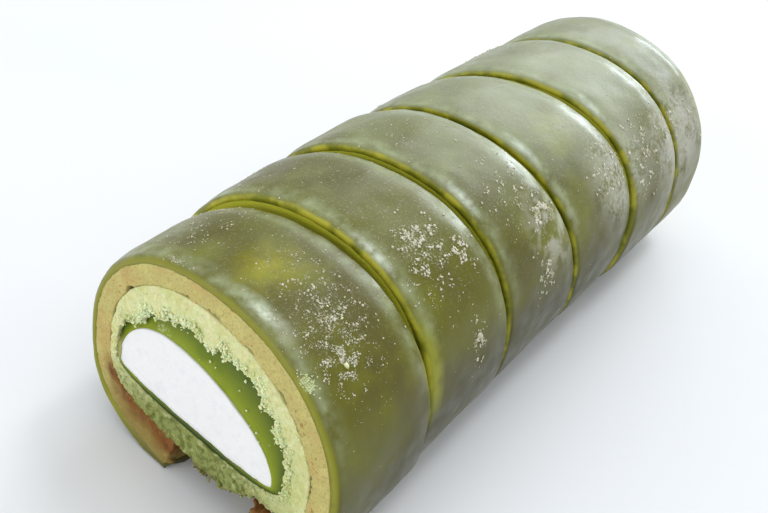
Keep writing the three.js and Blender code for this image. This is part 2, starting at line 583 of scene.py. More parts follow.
@dataclass
class LayerPiece(ABC):
    """One layer of one slice, modelled as a tube that two knife cuts trim."""

    home: Slice
    layer: Layer
    outer: Outline
    inner: Optional[Outline]
    over_steps: int
    face_steps: int
    deep_steps: int = 6
    deep_step: float = 0.45
    long_cuts: int = 3
    sag: float = 0.0
    piece: Optional[bpy.types.Object] = None

    @abstractmethod
    def loops(self, end: End) -> list[tuple[str, list[Point]]]:
        """The closed loops of the cross-section at one end, with the names of their groups."""

    @abstractmethod
    def close_face(self, end: End) -> None:
        """Fills one cut face."""

    @property
    def name(self) -> str:
        """The piece's name."""
        return f"{self.layer.value}_{self.home.number}"

    def build(self) -> bpy.types.Object:
        """Models the piece.

        Returns:
            The finished mesh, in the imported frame.
        """
        self.piece = self.tube()
        for end in End:
            self.trim(end)
        self.divide_length()
        for end in End:
            if self.home.is_open(end):
                self.step_out(end)
            self.close_face(end)
        self.clean()
        self.shape()
        self.place()
        return self.piece

    def tube(self) -> bpy.types.Object:
        """The layer's walls, run past both cuts.

        Returns:
            The object, open at both ends.
        """
        front = self.home.front.x - RUN_OUT
        back = self.home.back.x + RUN_OUT
        parts = []
        for index, (group, points) in enumerate(self.loops(End.FRONT)):
            settled = [self.home.settled(End.FRONT, point) for point in points]
            wall = add_loop(f"{self.name}_{index}", settled, front)
            self.mark_groups(wall, group, points)
            with editing(wall):
                bpy.ops.mesh.select_all(action="SELECT")
                bpy.ops.mesh.extrude_region_move(
                    TRANSFORM_OT_translate={"value": ((back - front) * MM, 0, 0)}
                )
            self.settle_far_end(wall, points, back)
            parts.append(wall)
        pick(*parts)
        if len(parts) > 1:
            bpy.ops.object.join()
        parts[0].name = parts[0].data.name = self.name
        return parts[0]

    def mark_groups(self, wall: bpy.types.Object, group: str, points: list[Point]) -> None:
        """Marks a wall's vertices as the layer's outside or inside.

        Args:
            wall: the wall, which is one extruded loop.
            group: the vertex group's name.
            points: the loop that the wall starts with.
        """
        wall.vertex_groups.new(name=OUTER)
        wall.vertex_groups.new(name=INNER)
        wall.vertex_groups[group].add(range(len(points)), 1.0, "REPLACE")

    def settle_far_end(self, wall: bpy.types.Object, points: list[Point], x: float) -> None:
        """Moves the extruded loop to where the slice has settled at its back."""
        for vertex, point in zip(wall.data.vertices[len(points):], points):
            vertex.co = Vector((x, *self.home.settled(End.BACK, point))) * MM

    def trim(self, end: End) -> None:
        """Cuts the tube off at a face, a little inside it where relief is to come.

        Args:
            end: the end of the slice.
        """
        face = self.trimmed_face(end)
        with editing(self.piece):
            bpy.ops.mesh.select_all(action="SELECT")
            bpy.ops.mesh.bisect(
                plane_co=(face.x0 * MM, 0, 0),
                plane_no=(1, -face.per_y, -face.per_z),
                clear_inner=end is End.FRONT,
                clear_outer=end is End.BACK,
                threshold=ON_PLANE,
            )

    def trimmed_face(self, end: End) -> Face:
        """Where the tube is cut off at one end."""
        deep = self.deep_steps * self.deep_step if self.home.is_open(end) else 0.0
        return self.home.face(end).moved(end.value * deep)

    def divide_length(self) -> None:
        """Cuts the long edges, so that the walls can follow the roll's surface."""
        with editing(self.piece):
            select_edges(self.piece, lambda edge: not edge.is_boundary)
            bpy.ops.mesh.subdivide(number_cuts=self.long_cuts)

    def rim_edges(self, end: End) -> Callable[[bmesh.types.BMEdge], bool]:
        """A test for the open edges at one end."""
        middle = (self.home.front.x + self.home.back.x) / 2 * MM
        return lambda edge: edge.is_boundary and (edge.verts[0].co.x < middle) == (end is End.FRONT)

    def step_out(self, end: End) -> None:
        """Runs the walls out to an open face in short steps, which the relief needs.

        Args:
            end: the end of the slice.
        """
        with editing(self.piece):
            select_edges(self.piece, self.rim_edges(end))
            for _ in range(self.deep_steps):
                bpy.ops.mesh.extrude_region_move(
                    TRANSFORM_OT_translate={"value": (-end.value * self.deep_step * MM, 0, 0)}
                )

    def bridge(self, end: End) -> None:
        """Fills a face between the layer's outside and its inside.

        The inside is drawn out along the roll while the two are bridged, because flat loops that
        lie in each other can be joined the wrong way round.

        Args:
            end: the end of the slice.
        """
        at_rim = self.rim_edges(end)
        outward = (-end.value * DRAWN_OUT * MM, 0, 0)
        with editing(self.piece):
            select_edges(self.piece, self.in_groups(at_rim, INNER))
            bpy.ops.transform.translate(value=outward)
            select_edges(self.piece, self.in_groups(at_rim, OUTER, INNER))
            bpy.ops.mesh.bridge_edge_loops(
                number_cuts=self.bridge_cuts(end), interpolation="LINEAR", smoothness=0.0
            )
        self.flatten(end)

    def in_groups(
        self, wanted: Callable[[bmesh.types.BMEdge], bool], *names: str
    ) -> Callable[[bmesh.types.BMEdge], bool]:
        """Narrows a test down to the edges that lie wholly in one of some vertex groups.

        Args:
            wanted: the test.
            names: the vertex groups.

        Returns:
            The narrower test.
        """
        weights = bmesh.from_edit_mesh(self.piece.data).verts.layers.deform.verify()
        groups = [self.piece.vertex_groups[name].index for name in names]
        return lambda edge: wanted(edge) and any(
            all(group in vertex[weights] for vertex in edge.verts) for group in groups
        )

    def flatten(self, end: End) -> None:
        """Presses what stands out of a cut face back onto it.

        Args:
            end: the end of the slice.
        """
        face = self.home.face(end)
        for vertex in self.piece.data.vertices:
            x = face.x_at(vertex.co.y / MM, vertex.co.z / MM) * MM
            if (x - vertex.co.x) * end.value > 0:
                vertex.co.x = x

    def bridge_cuts(self, end: End) -> int:
        """How many loops a face has between its outside and its inside."""
        return self.face_steps - 1 if self.home.is_open(end) else 0

    def clean(self) -> None:
        """Joins what meets and turns every face outwards."""
        with editing(self.piece):
            bpy.ops.mesh.select_all(action="SELECT")
            bpy.ops.mesh.remove_doubles(threshold=WELD * MM)
            bpy.ops.mesh.select_all(action="SELECT")
            bpy.ops.mesh.normals_make_consistent(inside=False)

    def share_in(self, y: float, z: float) -> float:
        """How far a point lies from the layer's outside, at 0, to its inside, at 1.

        Args:
            y: the point's place across the roll.
            z: the point's height.

        Returns:
            The share.
        """
        outside = max(1 - self.outer.share_out(y, z), 0.0)
        inside = max(self.inner.share_out(y, z) - 1, 0.0)
        return outside / (outside + inside + NO_WIDTH)

    def shape(self) -> None:
        """Gives the surface its own relief. A plain layer has none."""

    def place(self) -> None:
        """Moves the piece from the roll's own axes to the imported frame."""
        pick(self.piece)
        self.piece.location = FRAME_SHIFT
        bpy.ops.object.transform_apply(location=True, rotation=True, scale=True)
        bpy.ops.object.shade_smooth()


@dataclass
class SheetPiece(LayerPiece):
    """A layer that was bent round the roll as a sheet, open at the slot."""

    def loops(self, end: End) -> list[tuple[str, list[Point]]]:
        """One loop: over the outside, up one end, back along the inside and down the other.

        Args:
            end: the end of the slice, which is not used.

        Returns:
            The loops, each with its vertex group's name.
        """
        outside = self.outer.over(self.over_steps)
        inside = self.inner.over(self.over_steps)[::-1]
        loop = outside + self.joined(outside[-1], inside[0]) + inside
        return [(OUTER, loop + self.joined(inside[-1], outside[0]))]

    def joined(self, start: Point, end: Point) -> list[Point]:
        """The points between two corners, one for each step of the face.

        Args:
            start: the corner to leave.
            end: the corner to reach.

        Returns:
            The points, without the corners.
        """
        steps = self.face_steps
        return [
            tuple(np.array(start) + (np.array(end) - np.array(start)) * i / steps)
            for i in range(1, steps)
        ]

    def mark_groups(self, wall: bpy.types.Object, group: str, points: list[Point]) -> None:
        """Marks the loop's two long runs, and leaves out the sheet's two ends.

        Args:
            wall: the wall, which is one extruded loop.
            group: the vertex group's name, which is not used.
            points: the loop that the wall starts with, which is not used.
        """
        run = self.over_steps + 1
        start = run + self.face_steps - 1
        wall.vertex_groups.new(name=OUTER).add(range(run), 1.0, "REPLACE")
        wall.vertex_groups.new(name=INNER).add(range(start, start + run), 1.0, "REPLACE")

    def bridge_cuts(self, end: End) -> int:
        """Sheets have as many steps on every face as at their ends."""
        return self.face_steps - 1

    def close_face(self, end: End) -> None:
        """Bridges the two long runs."""
        self.bridge(end)

    def tear_ends(self) -> None:
        """Tears the sheet's two ends back at the open faces."""
        for end in End:
            if not self.home.is_open(end):
                continue
            face = self.home.face(end)
            for vertex in self.piece.data.vertices:
                x, y, z = vertex.co / MM
                depth = face.depth(end, x, y, z)
                dy = sum(tear.shift(y, z, depth) for tear in TEARS)
                dy *= 1 + sum(ripple.at(x, 0.0, z) for ripple in TORN)
                vertex.co += Vector((face.per_y * dy, dy, 0)) * MM


@dataclass
class RingPiece(LayerPiece):
    """A closed layer."""

    under_steps: int = 40

    def loops(self, end: End) -> list[tuple[str, list[Point]]]:
        """The outside, which sags into the slot, and the inside.

        Args:
            end: the end of the slice, which is not used.

        Returns:
            The loops, each with its vertex group's name.
        """
        outside = self.outer.over(self.over_steps)[:-1]
        outside += [(y, z - self.sag_at(y)) for y, z in self.outer.under(self.under_steps)[:-1]]
        inside = self.inner.over(self.over_steps)[:-1] + self.inner.under(self.under_steps)[:-1]
        return [(OUTER, outside), (INNER, inside)]

    def sag_at(self, y: float) -> float:
        """How far the layer sinks into the slot."""
        share = (2 * y - SLOT_LEFT - SLOT_RIGHT) / (SLOT_LEFT - SLOT_RIGHT)
        return self.sag * max(0.0, 1 - share * share)

    def close_face(self, end: End) -> None:
        """Bridges the outside and the inside."""
        self.bridge(end)


@dataclass
class CorePiece(LayerPiece):
    """The middle of the roll."""

    under_steps: int = 40

    def loops(self, end: End) -> list[tuple[str, list[Point]]]:
        """The outside."""
        over = self.outer.over(self.over_steps)[:-1]
        return [(OUTER, over + self.outer.under(self.under_steps)[:-1])]

    def close_face(self, end: End) -> None:
        """Fills the face with a grid.

        Args:
            end: the end of the slice.
        """
        with editing(self.piece):
            select_edges(self.piece, self.rim_edges(end))
            bpy.ops.mesh.fill_grid()


@dataclass
class Skin(SheetPiece):
    """The chewy outer skin, rounded over and pulled in at each cut."""

    rounding: float = 0.85
    rounding_steps: int = 5
    pulls: tuple[tuple[End, float, float], ...] = ((End.FRONT, 0.6, 2.4), (End.BACK, 1.15, 3.2))
    rim_depth: float = 1.8
    rim_width: float = 1.5
    open_reach: float = 0.55
    groove_reach: tuple[tuple[End, float], ...] = ((End.FRONT, 0.42), (End.BACK, 0.14))
    pulled: Fade = Fade(12.0, 44.0, 0.05)
    waved: Fade = Fade(1.2, 7.2)
    pale: Fade = Fade(30.0, 42.0)
    wall_slope: float = 0.5
    face_slope: float = 0.8
    waves: tuple[Relief, ...] = (
        Relief("CLOUDS", 16.0, 0.55, "NORMAL"),
        Relief("CLOUDS", 4.0, 0.16, "NORMAL"),
    )

    def shape(self) -> None:
        """Pulls the skin in at the cuts, gives it soft waves and rounds its rims."""
        self.tear_ends()
        self.pull_in()
        self.mark_free_surface()
        for wave in self.waves:
            wave.press(self.piece, "free")
        self.round_rims()
        self.mark_cut()
        self.mark_painted_rim_sheen()

    def depth_under_cut(self, x: float, y: float, z: float) -> float:
        """How far a point lies from the nearer cut face.

        Args:
            x: the point's place along the roll.
            y: the point's place across the roll.
            z: the point's height.

        Returns:
            The distance.
        """
        return min(
            x - self.home.face(End.FRONT).x_at(y, z),
            self.home.face(End.BACK).x_at(y, z) - x,
        )

    def away(self, y: float, z: float) -> Vector:
        """The direction from the roll's middle line to a point."""
        return Vector((0, y, z - WIDEST_LEVEL)).normalized()

    def on_outside(self) -> Iterator[bpy.types.MeshVertex]:
        """The vertices of the outside."""
        outer = self.piece.vertex_groups[OUTER].index
        for vertex in self.piece.data.vertices:
            if outer in [entry.group for entry in vertex.groups]:
                yield vertex

    def pull_in(self) -> None:
        """Sinks the outside towards each cut, as a blade drags it."""
        for vertex in self.on_outside():
            x, y, z = vertex.co / MM
            sunk = 0.0
            for end, pull, length in self.pulls:
                depth = self.home.face(end).depth(end, x, y, z)
                sunk += pull * math.exp(-((depth / length) ** 2))
            vertex.co -= self.away(y, z) * sunk * self.pulled.at(z) * MM

    def mark_free_surface(self) -> None:
        """Marks the outside above the floor, which the waves may move."""
        free = self.piece.vertex_groups.new(name="free")
        for vertex in self.on_outside():
            free.add([vertex.index], self.waved.at(vertex.co.z / MM), "REPLACE")

    def round_rims(self) -> None:
        """Bevels the two outer rims."""
        outer = self.in_group_test(OUTER)
        with editing(self.piece):
            select_edges(self.piece, lambda edge: outer(edge) and self.between_wall_and_face(edge))
            bpy.ops.mesh.bevel(
                offset=self.rounding * MM, segments=self.rounding_steps, affect="EDGES"
            )

    def in_group_test(self, name: str) -> Callable[[bmesh.types.BMEdge], bool]:
        """A test for edges whose two vertices are in a vertex group.

        Args:
            name: the vertex group's name.

        Returns:
            The test.
        """
        group = self.piece.vertex_groups[name].index
        inside = {
            vertex.index
            for vertex in self.piece.data.vertices
            if group in [entry.group for entry in vertex.groups]
        }
        return lambda edge: all(vertex.index in inside for vertex in edge.verts)

    def between_wall_and_face(self, edge: bmesh.types.BMEdge) -> bool:
        """Whether one of an edge's faces is a wall along the roll and the other a cut face.

        Args:
            edge: the edge.

        Returns:
            Whether it lies between the two.
        """
        if len(edge.link_faces) != 2:
            return False
        along = sorted(abs(polygon.normal.x) for polygon in edge.link_faces)
        return along[0] < self.wall_slope and along[1] > self.face_slope

    def mark_cut(self) -> None:
        """Stores where the knife has laid the skin's inside open: at the roll's ends and between."""
        mesh = self.piece.data
        cut = mesh.attributes.new("cut", "FLOAT", "POINT")
        groove = mesh.attributes.new("groove", "FLOAT", "POINT")
        for vertex in mesh.vertices:
            x, y, z = vertex.co / MM
            for end, reach in self.groove_reach:
                is_open = self.home.is_open(end)
                depth = self.home.face(end).depth(end, x, y, z)
                share = 1 - depth / (self.open_reach if is_open else reach)
                if share > 0:
                    (cut if is_open else groove).data[vertex.index].value = min(share, 1.0)

    def mark_painted_rim_sheen(self) -> None:
        """Stores where a pale sheen is painted on the skin near its rims: a painted highlight."""
        rims = self.piece.data.attributes.new("rim", "FLOAT", "POINT")
        for vertex in self.on_outside():
            x, y, z = vertex.co / MM
            depth = self.depth_under_cut(x, y, z)
            near = math.exp(-(((depth - self.rim_depth) / self.rim_width) ** 2))
            rims.data[vertex.index].value = near * self.pale.at(z)


@dataclass
class CutFaceRelief:
    """What roughens an open cut face, and how deep below it the roughness reaches."""

    reliefs: tuple[Relief, ...]
    reach: float = 2.0
    margin: float = 0.0

    def press(self, piece: LayerPiece, end: End) -> None:
        """Presses the reliefs into one open face of a piece.

        Args:
            piece: the layer.
            end: the face.
        """
        face = piece.home.face(end)
        name = f"craggy_{end.name.lower()}"
        group = piece.piece.vertex_groups.new(name=name)
        for vertex in piece.piece.data.vertices:
            x, y, z = vertex.co / MM
            weight = 1 - face.depth(end, x, y, z) / self.reach
            if self.margin:
                inside = (1 - piece.outer.share_out(y, z)) * piece.outer.half_width
                weight = min(weight, inside / self.margin)
            if weight > 0:
                group.add([vertex.index], min(weight, 1.0), "REPLACE")
        for relief in self.reliefs:
            relief.press(piece.piece, name)


@dataclass(frozen=True)
class Slit:
    """A place where the sponge has come away from the cake."""

    start: float
    end: float
    width: float
    depth: float

    def share(self, angle: float) -> float:
        """How wide the slit is at an angle round the roll, as a share of its width."""
        along = (angle - self.start) / (self.end - self.start)
        return math.sin(math.pi * along) if 0 < along < 1 else 0.0


@dataclass
class Cake(SheetPiece):
    """The firm tan cake, finely pored, with slits where the sponge has come away from it."""

    relief: CutFaceRelief = field(
        default_factory=lambda: CutFaceRelief(
            (
                Relief("CLOUDS", 2.2, 0.4),
                Relief("VORONOI", 0.6, 0.3),
                Relief("CLOUDS", 0.35, 0.25, "RGB_TO_XYZ", settings={"cloud_type": "COLOR"}),
            ),
            margin=1.0,
        )
    )
    slits: tuple[Slit, ...] = (
        Slit(0.18, 0.42, 0.45, 1.2),
        Slit(0.56, 0.68, 0.7, 1.8),
        Slit(1.2, 1.36, 0.5, 1.2),
        Slit(1.44, 1.7, 0.95, 2.6),
        Slit(1.88, 2.02, 0.75, 2.0),
        Slit(2.26, 2.4, 0.85, 2.2),
        Slit(2.79, 3.13, 0.65, 1.8),
    )
    slit_edge: Ripple = Ripple(0.5, 1.2)
    face_depth: float = 0.1
    browned_height: Fade = Fade(19.0, 14.0)
    browned_end: Fade = Fade(14.0, 8.0)
    browned_end_share: float = 0.25
    browned_share: Fade = Fade(0.2, 0.7)
    browned_edge: Ripple = Ripple(0.2, 3.0)
    smear_width: Fade = Fade(4.5, 1.5)
    smear_depth: float = 0.3

    def shape(self) -> None:
        """Opens the slits of the open faces and roughens them."""
        self.tear_ends()
        self.mark_browned()
        self.mark_smeared()
        for end in End:
            if self.home.is_open(end):
                self.open_slits(end)
                self.relief.press(self, end)

    def mark_browned(self) -> None:
        """Stores where the sheet's foot was browned in the oven, on its side to the sponge."""
        browned = self.piece.data.attributes.new("browned", "FLOAT", "POINT")
        for vertex in self.piece.data.vertices:
            x, y, z = vertex.co / MM
            share = self.share_in(y, z) + self.browned_edge.at(x, y, z)
            share += self.browned_end.at(abs(y)) * self.browned_end_share
            browned.data[vertex.index].value = self.browned_share.at(share) * self.browned_height.at(z)

    def mark_smeared(self) -> None:
        """Stores where the knife has drawn the sticky skin down over the cake between slices."""
        smeared = self.piece.data.attributes.new("smeared", "FLOAT", "POINT")
        faces = [self.home.face(end) for end in End if not self.home.is_open(end)]
        for vertex in self.piece.data.vertices:
            x, y, z = vertex.co / MM
            if any(abs(x - face.x_at(y, z)) < self.smear_depth for face in faces):
                inside = (1 - self.outer.share_out(y, z)) * self.outer.half_width
                smeared.data[vertex.index].value = self.smear_width.at(inside)

    def open_slits(self, end: End) -> None:
        """Sinks the face's inner edge where it has come away from the sponge, and stores where shade is
        painted in the slits.

        Args:
            end: the end of the slice.
        """
        face = self.home.face(end)
        middle_y, middle_z = self.inner.middle
        attributes = self.piece.data.attributes
        painted_slit_shade = attributes.get("slit") or attributes.new("slit", "FLOAT", "POINT")
        for vertex in self.piece.data.vertices:
            x, y, z = vertex.co / MM
            if face.depth(end, x, y, z) > self.face_depth:
                continue
            angle = math.atan2(z - middle_z, y - middle_y)
            beyond = (self.inner.share_out(y, z) - 1) * self.inner.half_width
            for slit in self.slits:
                width = slit.width * slit.share(angle) * (1 + self.slit_edge.at(0.0, y, z))
                if beyond < width:
                    vertex.co.x += end.value * slit.depth * MM
                    painted_slit_shade.data[vertex.index].value = 1.0


@dataclass(frozen=True)
class Lip:
    """The torn inner edge of the sponge, which hangs over the paste in lumps."""

    size: float = 1.5
    least: float = 0.25
    lumps: Ripple = Ripple(1.35, 3.1)
    crumbs: Ripple = Ripple(0.8, 1.0, (7.0, 0.0, 0.0))
    above: Fade = Fade(SPONGE_IN.widest, SPONGE_IN.widest + 12.0, 0.12)
    reach: float = 3.2
    depth: float = 1.2

    def away(self, y: float, z: float) -> Vector:
        """The direction across the roll from the middle of the paste to a point."""
        middle_y, middle_z = SPONGE_IN.middle
        return Vector((y - middle_y, z - middle_z)).normalized()

    def overhang(self, y: float, z: float) -> float:
        """How far the edge hangs over the paste at a point, or lies back where it is negative.

        Args:
            y: the point's place across the roll.
            z: its height.

        Returns:
            The distance.
        """
        torn = self.least + self.lumps.at(0.0, y, z) + self.crumbs.at(0.0, y, z)
        return torn * self.above.at(z) * self.size


LIP = Lip()


@dataclass
class Sponge(RingPiece):
    """The crumbly sponge, whose torn edge hangs over the paste."""

    relief: CutFaceRelief = field(
        default_factory=lambda: CutFaceRelief(
            (
                Relief("CLOUDS", 3.5, 0.6),
                Relief("VORONOI", 0.9, 0.35),
                Relief("CLOUDS", 0.6, 0.45, "RGB_TO_XYZ", settings={"cloud_type": "COLOR"}),
                Relief("CLOUDS", 0.3, 0.25),
            )
        )
    )
    notch: float = 3.0
    notch_middle: float = -15.5
    notch_half_width: float = 4.5
    notch_depth: float = 8.0
    notch_raggedness: float = 0.6
    bare_from: float = -19.5
    bare_to: float = 9.0
    underside: tuple[Ripple, ...] = (Ripple(0.9, 1.9), Ripple(0.5, 0.8, (0.0, 0.0, 5.0)))

    def shape(self) -> None:
        """Tears the two edges of the open faces and roughens them."""
        for end in End:
            if self.home.is_open(end):
                self.tear_edge(end)
                self.tear_underside(end)
                self.relief.press(self, end)

    def tear_edge(self, end: End) -> None:
        """Draws the inner edge of a face out over the paste, unevenly.

        Args:
            end: the end of the slice.
        """
        face = self.home.face(end)
        for vertex in self.piece.data.vertices:
            x, y, z = vertex.co / MM
            depth = face.depth(end, x, y, z)
            beyond = (self.inner.share_out(y, z) - 1) * self.inner.half_width
            weight = (1 - beyond / LIP.reach) * (1 - depth / LIP.depth)
            if depth < LIP.depth and beyond < LIP.reach and weight > 0:
                drawn = LIP.away(y, z) * LIP.overhang(y, z) * weight
                vertex.co -= Vector((0, *drawn)) * MM

    def tear_underside(self, end: End) -> None:
        """Lifts the underside of a face where a piece has come off beside the slot.

        Args:
            end: the end of the slice.
        """
        face = self.home.face(end)
        for vertex in self.piece.data.vertices:
            x, y, z = vertex.co / MM
            depth = face.depth(end, x, y, z)
            if z > WIDEST_LEVEL or depth > self.notch_depth:
                continue
            away = (y - self.notch_middle) / self.notch_half_width
            ragged = sum(ripple.at(x, y, 0.0) for ripple in self.underside)
            lifted = self.notch * math.exp(-away * away) * (1 + self.notch_raggedness * ragged)
            if self.bare_from < y < self.bare_to:
                lifted += ragged
            fading = (1 - self.share_in(y, z)) * (1 - max(depth, 0.0) / self.notch_depth)
            vertex.co.z += lifted * fading * MM


@dataclass
class Paste(RingPiece):
    """The smooth green paste, sunk below the cut where the knife has drawn it in."""

    sunk_outside: float = 1.7
    sunk_inside: float = 0.6
    hollow: float = 0.35
    above: Fade = Fade(19.0, 28.0, 0.12)
    waves: Ripple = Ripple(0.08, 3.0, (3.0, 0.0, 0.0))
    face_depth: float = 0.1

    def shape(self) -> None:
        """Hollows the open faces and stores how near each place is to the cream."""
        nearness = self.piece.data.attributes.new("nearness", "FLOAT", "POINT")
        for vertex in self.piece.data.vertices:
            x, y, z = vertex.co / MM
            share = self.share_in(y, z)
            nearness.data[vertex.index].value = share
            for end in End:
                depth = self.home.face(end).depth(end, x, y, z)
                if self.home.is_open(end) and depth < self.face_depth:
                    vertex.co.x += end.value * self.sunk(share, y, z) * MM

    def sunk(self, share: float, y: float, z: float) -> float:
        """How deep the face lies at a share of the way from the sponge to the cream.

        Args:
            share: how far the place lies from the sponge, at 0, to the cream, at 1.
            y: the point's place across the roll.
            z: the point's height.

        Returns:
            The depth.
        """
        slope = self.sunk_outside + (self.sunk_inside - self.sunk_outside) * share
        hollowed = (slope + self.hollow * math.sin(math.pi * share)) * self.above.at(z)
        return hollowed + self.waves.at(0.0, y, z)


@dataclass
class Cream(CorePiece):
    """The white cream, a little grainy where it was cut."""

    sunk: float = 0.3
    dome: float = 0.5
    face_depth: float = 0.05
    relief: CutFaceRelief = field(
        default_factory=lambda: CutFaceRelief(
            (
                Relief("CLOUDS", 5.0, 0.5),
                Relief("CLOUDS", 1.1, 0.22),
                Relief("CLOUDS", 0.4, 0.16),
            ),
            reach=1.2,
        )
    )

    def shape(self) -> None:
        """Swells the open faces at their middle and roughens them."""
        for end in End:
            if not self.home.is_open(end):
                continue
            face = self.home.face(end)
            for vertex in self.piece.data.vertices:
                x, y, z = vertex.co / MM
                if face.depth(end, x, y, z) < self.face_depth:
                    swell = self.dome * (1 - min(self.outer.share_out(y, z), 1.0) ** 2)
                    vertex.co.x += end.value * (self.sunk - swell) * MM
            self.relief.press(self, end)


def linear(colour: str) -> tuple[float, float, float, float]:
    """A colour as the shaders take it.

    Args:
        colour: six sRGB hex digits after a hash.

    Returns:
        Linear red, green, blue and full opacity.
    """
    channels = [int(colour[i:i + 2], 16) / 255 for i in (1, 3, 5)]
    return (*[c / 12.92 if c <= 0.04045 else ((c + 0.055) / 1.055) ** 2.4 for c in channels], 1.0)


def add_node(
    tree: bpy.types.NodeTree,
    kind: str,
    settings: Optional[dict] = None,
    inputs: Optional[dict] = None,
) -> bpy.types.Node:
    """Adds a node with its settings and links.

    Args:
        tree: the material's tree.
        kind: the node's type.
        settings: properties by name.
        inputs: values or other nodes' outputs, by the name or number of the input.

    Returns:
        The node.
    """
    made = tree.nodes.new(kind)
    for name, value in (settings or {}).items():
        setattr(made, name, value)
    for name, value in (inputs or {}).items():
        if isinstance(value, bpy.types.NodeSocket):
            tree.links.new(value, made.inputs[name])
        else:
            made.inputs[name].default_value = value
    return made


class Pattern(Enum):
    """A procedural texture and the output that is read from it."""

    NOISE = ("ShaderNodeTexNoise", "Fac")
    CELLS = ("ShaderNodeTexVoronoi", "Distance")

    def value(
        self, tree: bpy.types.NodeTree, place: bpy.types.NodeSocket, size: float
    ) -> bpy.types.NodeSocket:
        """The pattern's value, with features of a real size.

        Args:
            tree: the material's tree.
            place: the coordinates.
            size: the features' size in millimetres.

        Returns:
            The output socket.
        """
        kind, output = self._value_
        scale = 1 / (size * MM)
        made = add_node(
            tree, kind, inputs={"Vector": place, "Scale": scale, "Detail": NOISE_DETAIL}
        )
        return made.outputs[output]


@dataclass(frozen=True)
class Patch:
    """A soft-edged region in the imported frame, in millimetres."""

    middle: tuple[float, float, float]
    radii: tuple[float, float, float]
    edge: float = 0.35

    def mask(self, tree: bpy.types.NodeTree, place: bpy.types.NodeSocket) -> bpy.types.NodeSocket:
        """1 inside the region and 0 outside it, with a soft edge between.

        Args:
            tree: the material's tree.
            place: the coordinates.

        Returns:
            The output socket.
        """
        moved = add_node(
            tree,
            "ShaderNodeMapping",
            inputs={
                "Vector": place,
                "Scale": [1 / (radius * MM) for radius in self.radii],
                "Location": [-at / radius for at, radius in zip(self.middle, self.radii)],
            },
        )
        length = add_node(tree, "ShaderNodeVectorMath", {"operation": "LENGTH"}, {0: moved.outputs[0]})
        return add_node(
            tree, "ShaderNodeMapRange", inputs={0: length.outputs[1], 1: 1.0, 2: self.edge}
        ).outputs[0]


@dataclass(frozen=True)
class Tint:
    """A second colour, which shows where a pattern is strong."""

    colour: str
    size: float
    low: float
    high: float
    most: float = 1.0
    pattern: Pattern = Pattern.NOISE
    patch: Optional[Patch] = None
    attribute: str = ""

    def share(self, tree: bpy.types.NodeTree, place: bpy.types.NodeSocket) -> bpy.types.NodeSocket:
        """How much of the colour shows at each place.

        Args:
            tree: the material's tree.
            place: the coordinates.

        Returns:
            The output socket.
        """
        pattern = self.pattern.value(tree, place, self.size)
        shares = [
            add_node(
                tree, "ShaderNodeMapRange", inputs={0: pattern, 1: self.low, 2: self.high, 4: self.most}
            ).outputs[0]
        ]
        if self.patch:
            shares.append(self.patch.mask(tree, place))
        if self.attribute:
            stored = add_node(tree, "ShaderNodeAttribute", {"attribute_name": self.attribute})
            shares.append(stored.outputs["Fac"])
        total = shares[0]
        for share in shares[1:]:
            total = add_node(
                tree, "ShaderNodeMath", {"operation": "MULTIPLY"}, {0: total, 1: share}
            ).outputs[0]
        return total


@dataclass(frozen=True)
class Grain:
    """A low relief: its pattern, and the size and height of its features in millimetres."""

    size: float
    height: float
    pattern: Pattern = Pattern.NOISE


@dataclass(frozen=True)
class Finish:
    """A finish: the real substance, its colours and relief, and the shader's constants."""

    name: str
    colour: str
    tints: tuple[Tint, ...]
    grains: tuple[Grain, ...]
    roughness: tuple[float, float]
    settings: dict

    def material(self) -> bpy.types.Material:
        """The material, which is made once.

        Returns:
            The material.
        """
        made = bpy.data.materials.get(self.name)
        if made:
            return made
        made = bpy.data.materials.new(self.name)
        made.use_nodes = True
        tree = made.node_tree
        tree.nodes.clear()
        place = add_node(tree, "ShaderNodeTexCoord").outputs["Object"]
        shader = add_node(
            tree,
            "ShaderNodeBsdfPrincipled",
            inputs={
                "Base Color": self.mottled(tree, place),
                "Roughness": self.dulled(tree, place),
                "Normal": self.raised(tree, place),
                **self.settings,
            },
        )
        add_node(tree, "ShaderNodeOutputMaterial", inputs={"Surface": shader.outputs[0]})
        return made

    def mottled(self, tree: bpy.types.NodeTree, place: bpy.types.NodeSocket) -> bpy.types.NodeSocket:
        """The colour with its tints laid over it in order.

        Args:
            tree: the material's tree.
            place: the coordinates.

        Returns:
            The output socket.
        """
        colour = add_node(tree, "ShaderNodeRGB")
        colour.outputs[0].default_value = linear(self.colour)
        result = colour.outputs[0]
        for tint in self.tints:
            mixed = add_node(
                tree,
                "ShaderNodeMix",
                {"data_type": "RGBA"},
                {0: tint.share(tree, place), 6: result, 7: linear(tint.colour)},
            )
            result = mixed.outputs[2]
        return result

    def dulled(self, tree: bpy.types.NodeTree, place: bpy.types.NodeSocket) -> bpy.types.NodeSocket:
        """The roughness, which varies over a few millimetres.

        Args:
            tree: the material's tree.
            place: the coordinates.

        Returns:
            The output socket.
        """
        pattern = Pattern.NOISE.value(tree, place, ROUGHNESS_SIZE)
        (low, high), (least, most) = ROUGHNESS_SPAN, self.roughness
        return add_node(
            tree, "ShaderNodeMapRange", inputs={0: pattern, 1: low, 2: high, 3: least, 4: most}
        ).outputs[0]

    def raised(self, tree: bpy.types.NodeTree, place: bpy.types.NodeSocket) -> bpy.types.NodeSocket:
        """The normal, with every relief pressed into it.

        Args:
            tree: the material's tree.
            place: the coordinates.

        Returns:
            The output socket.
        """
        normal = add_node(tree, "ShaderNodeNewGeometry").outputs["Normal"]
        for grain in self.grains:
            bump = add_node(
                tree,
                "ShaderNodeBump",
                inputs={
                    "Height": grain.pattern.value(tree, place, grain.size),
                    "Distance": grain.height * MM,
                    "Strength": 1.0,
                    "Normal": normal,
                },
            )
            normal = bump.outputs[0]
        return normal
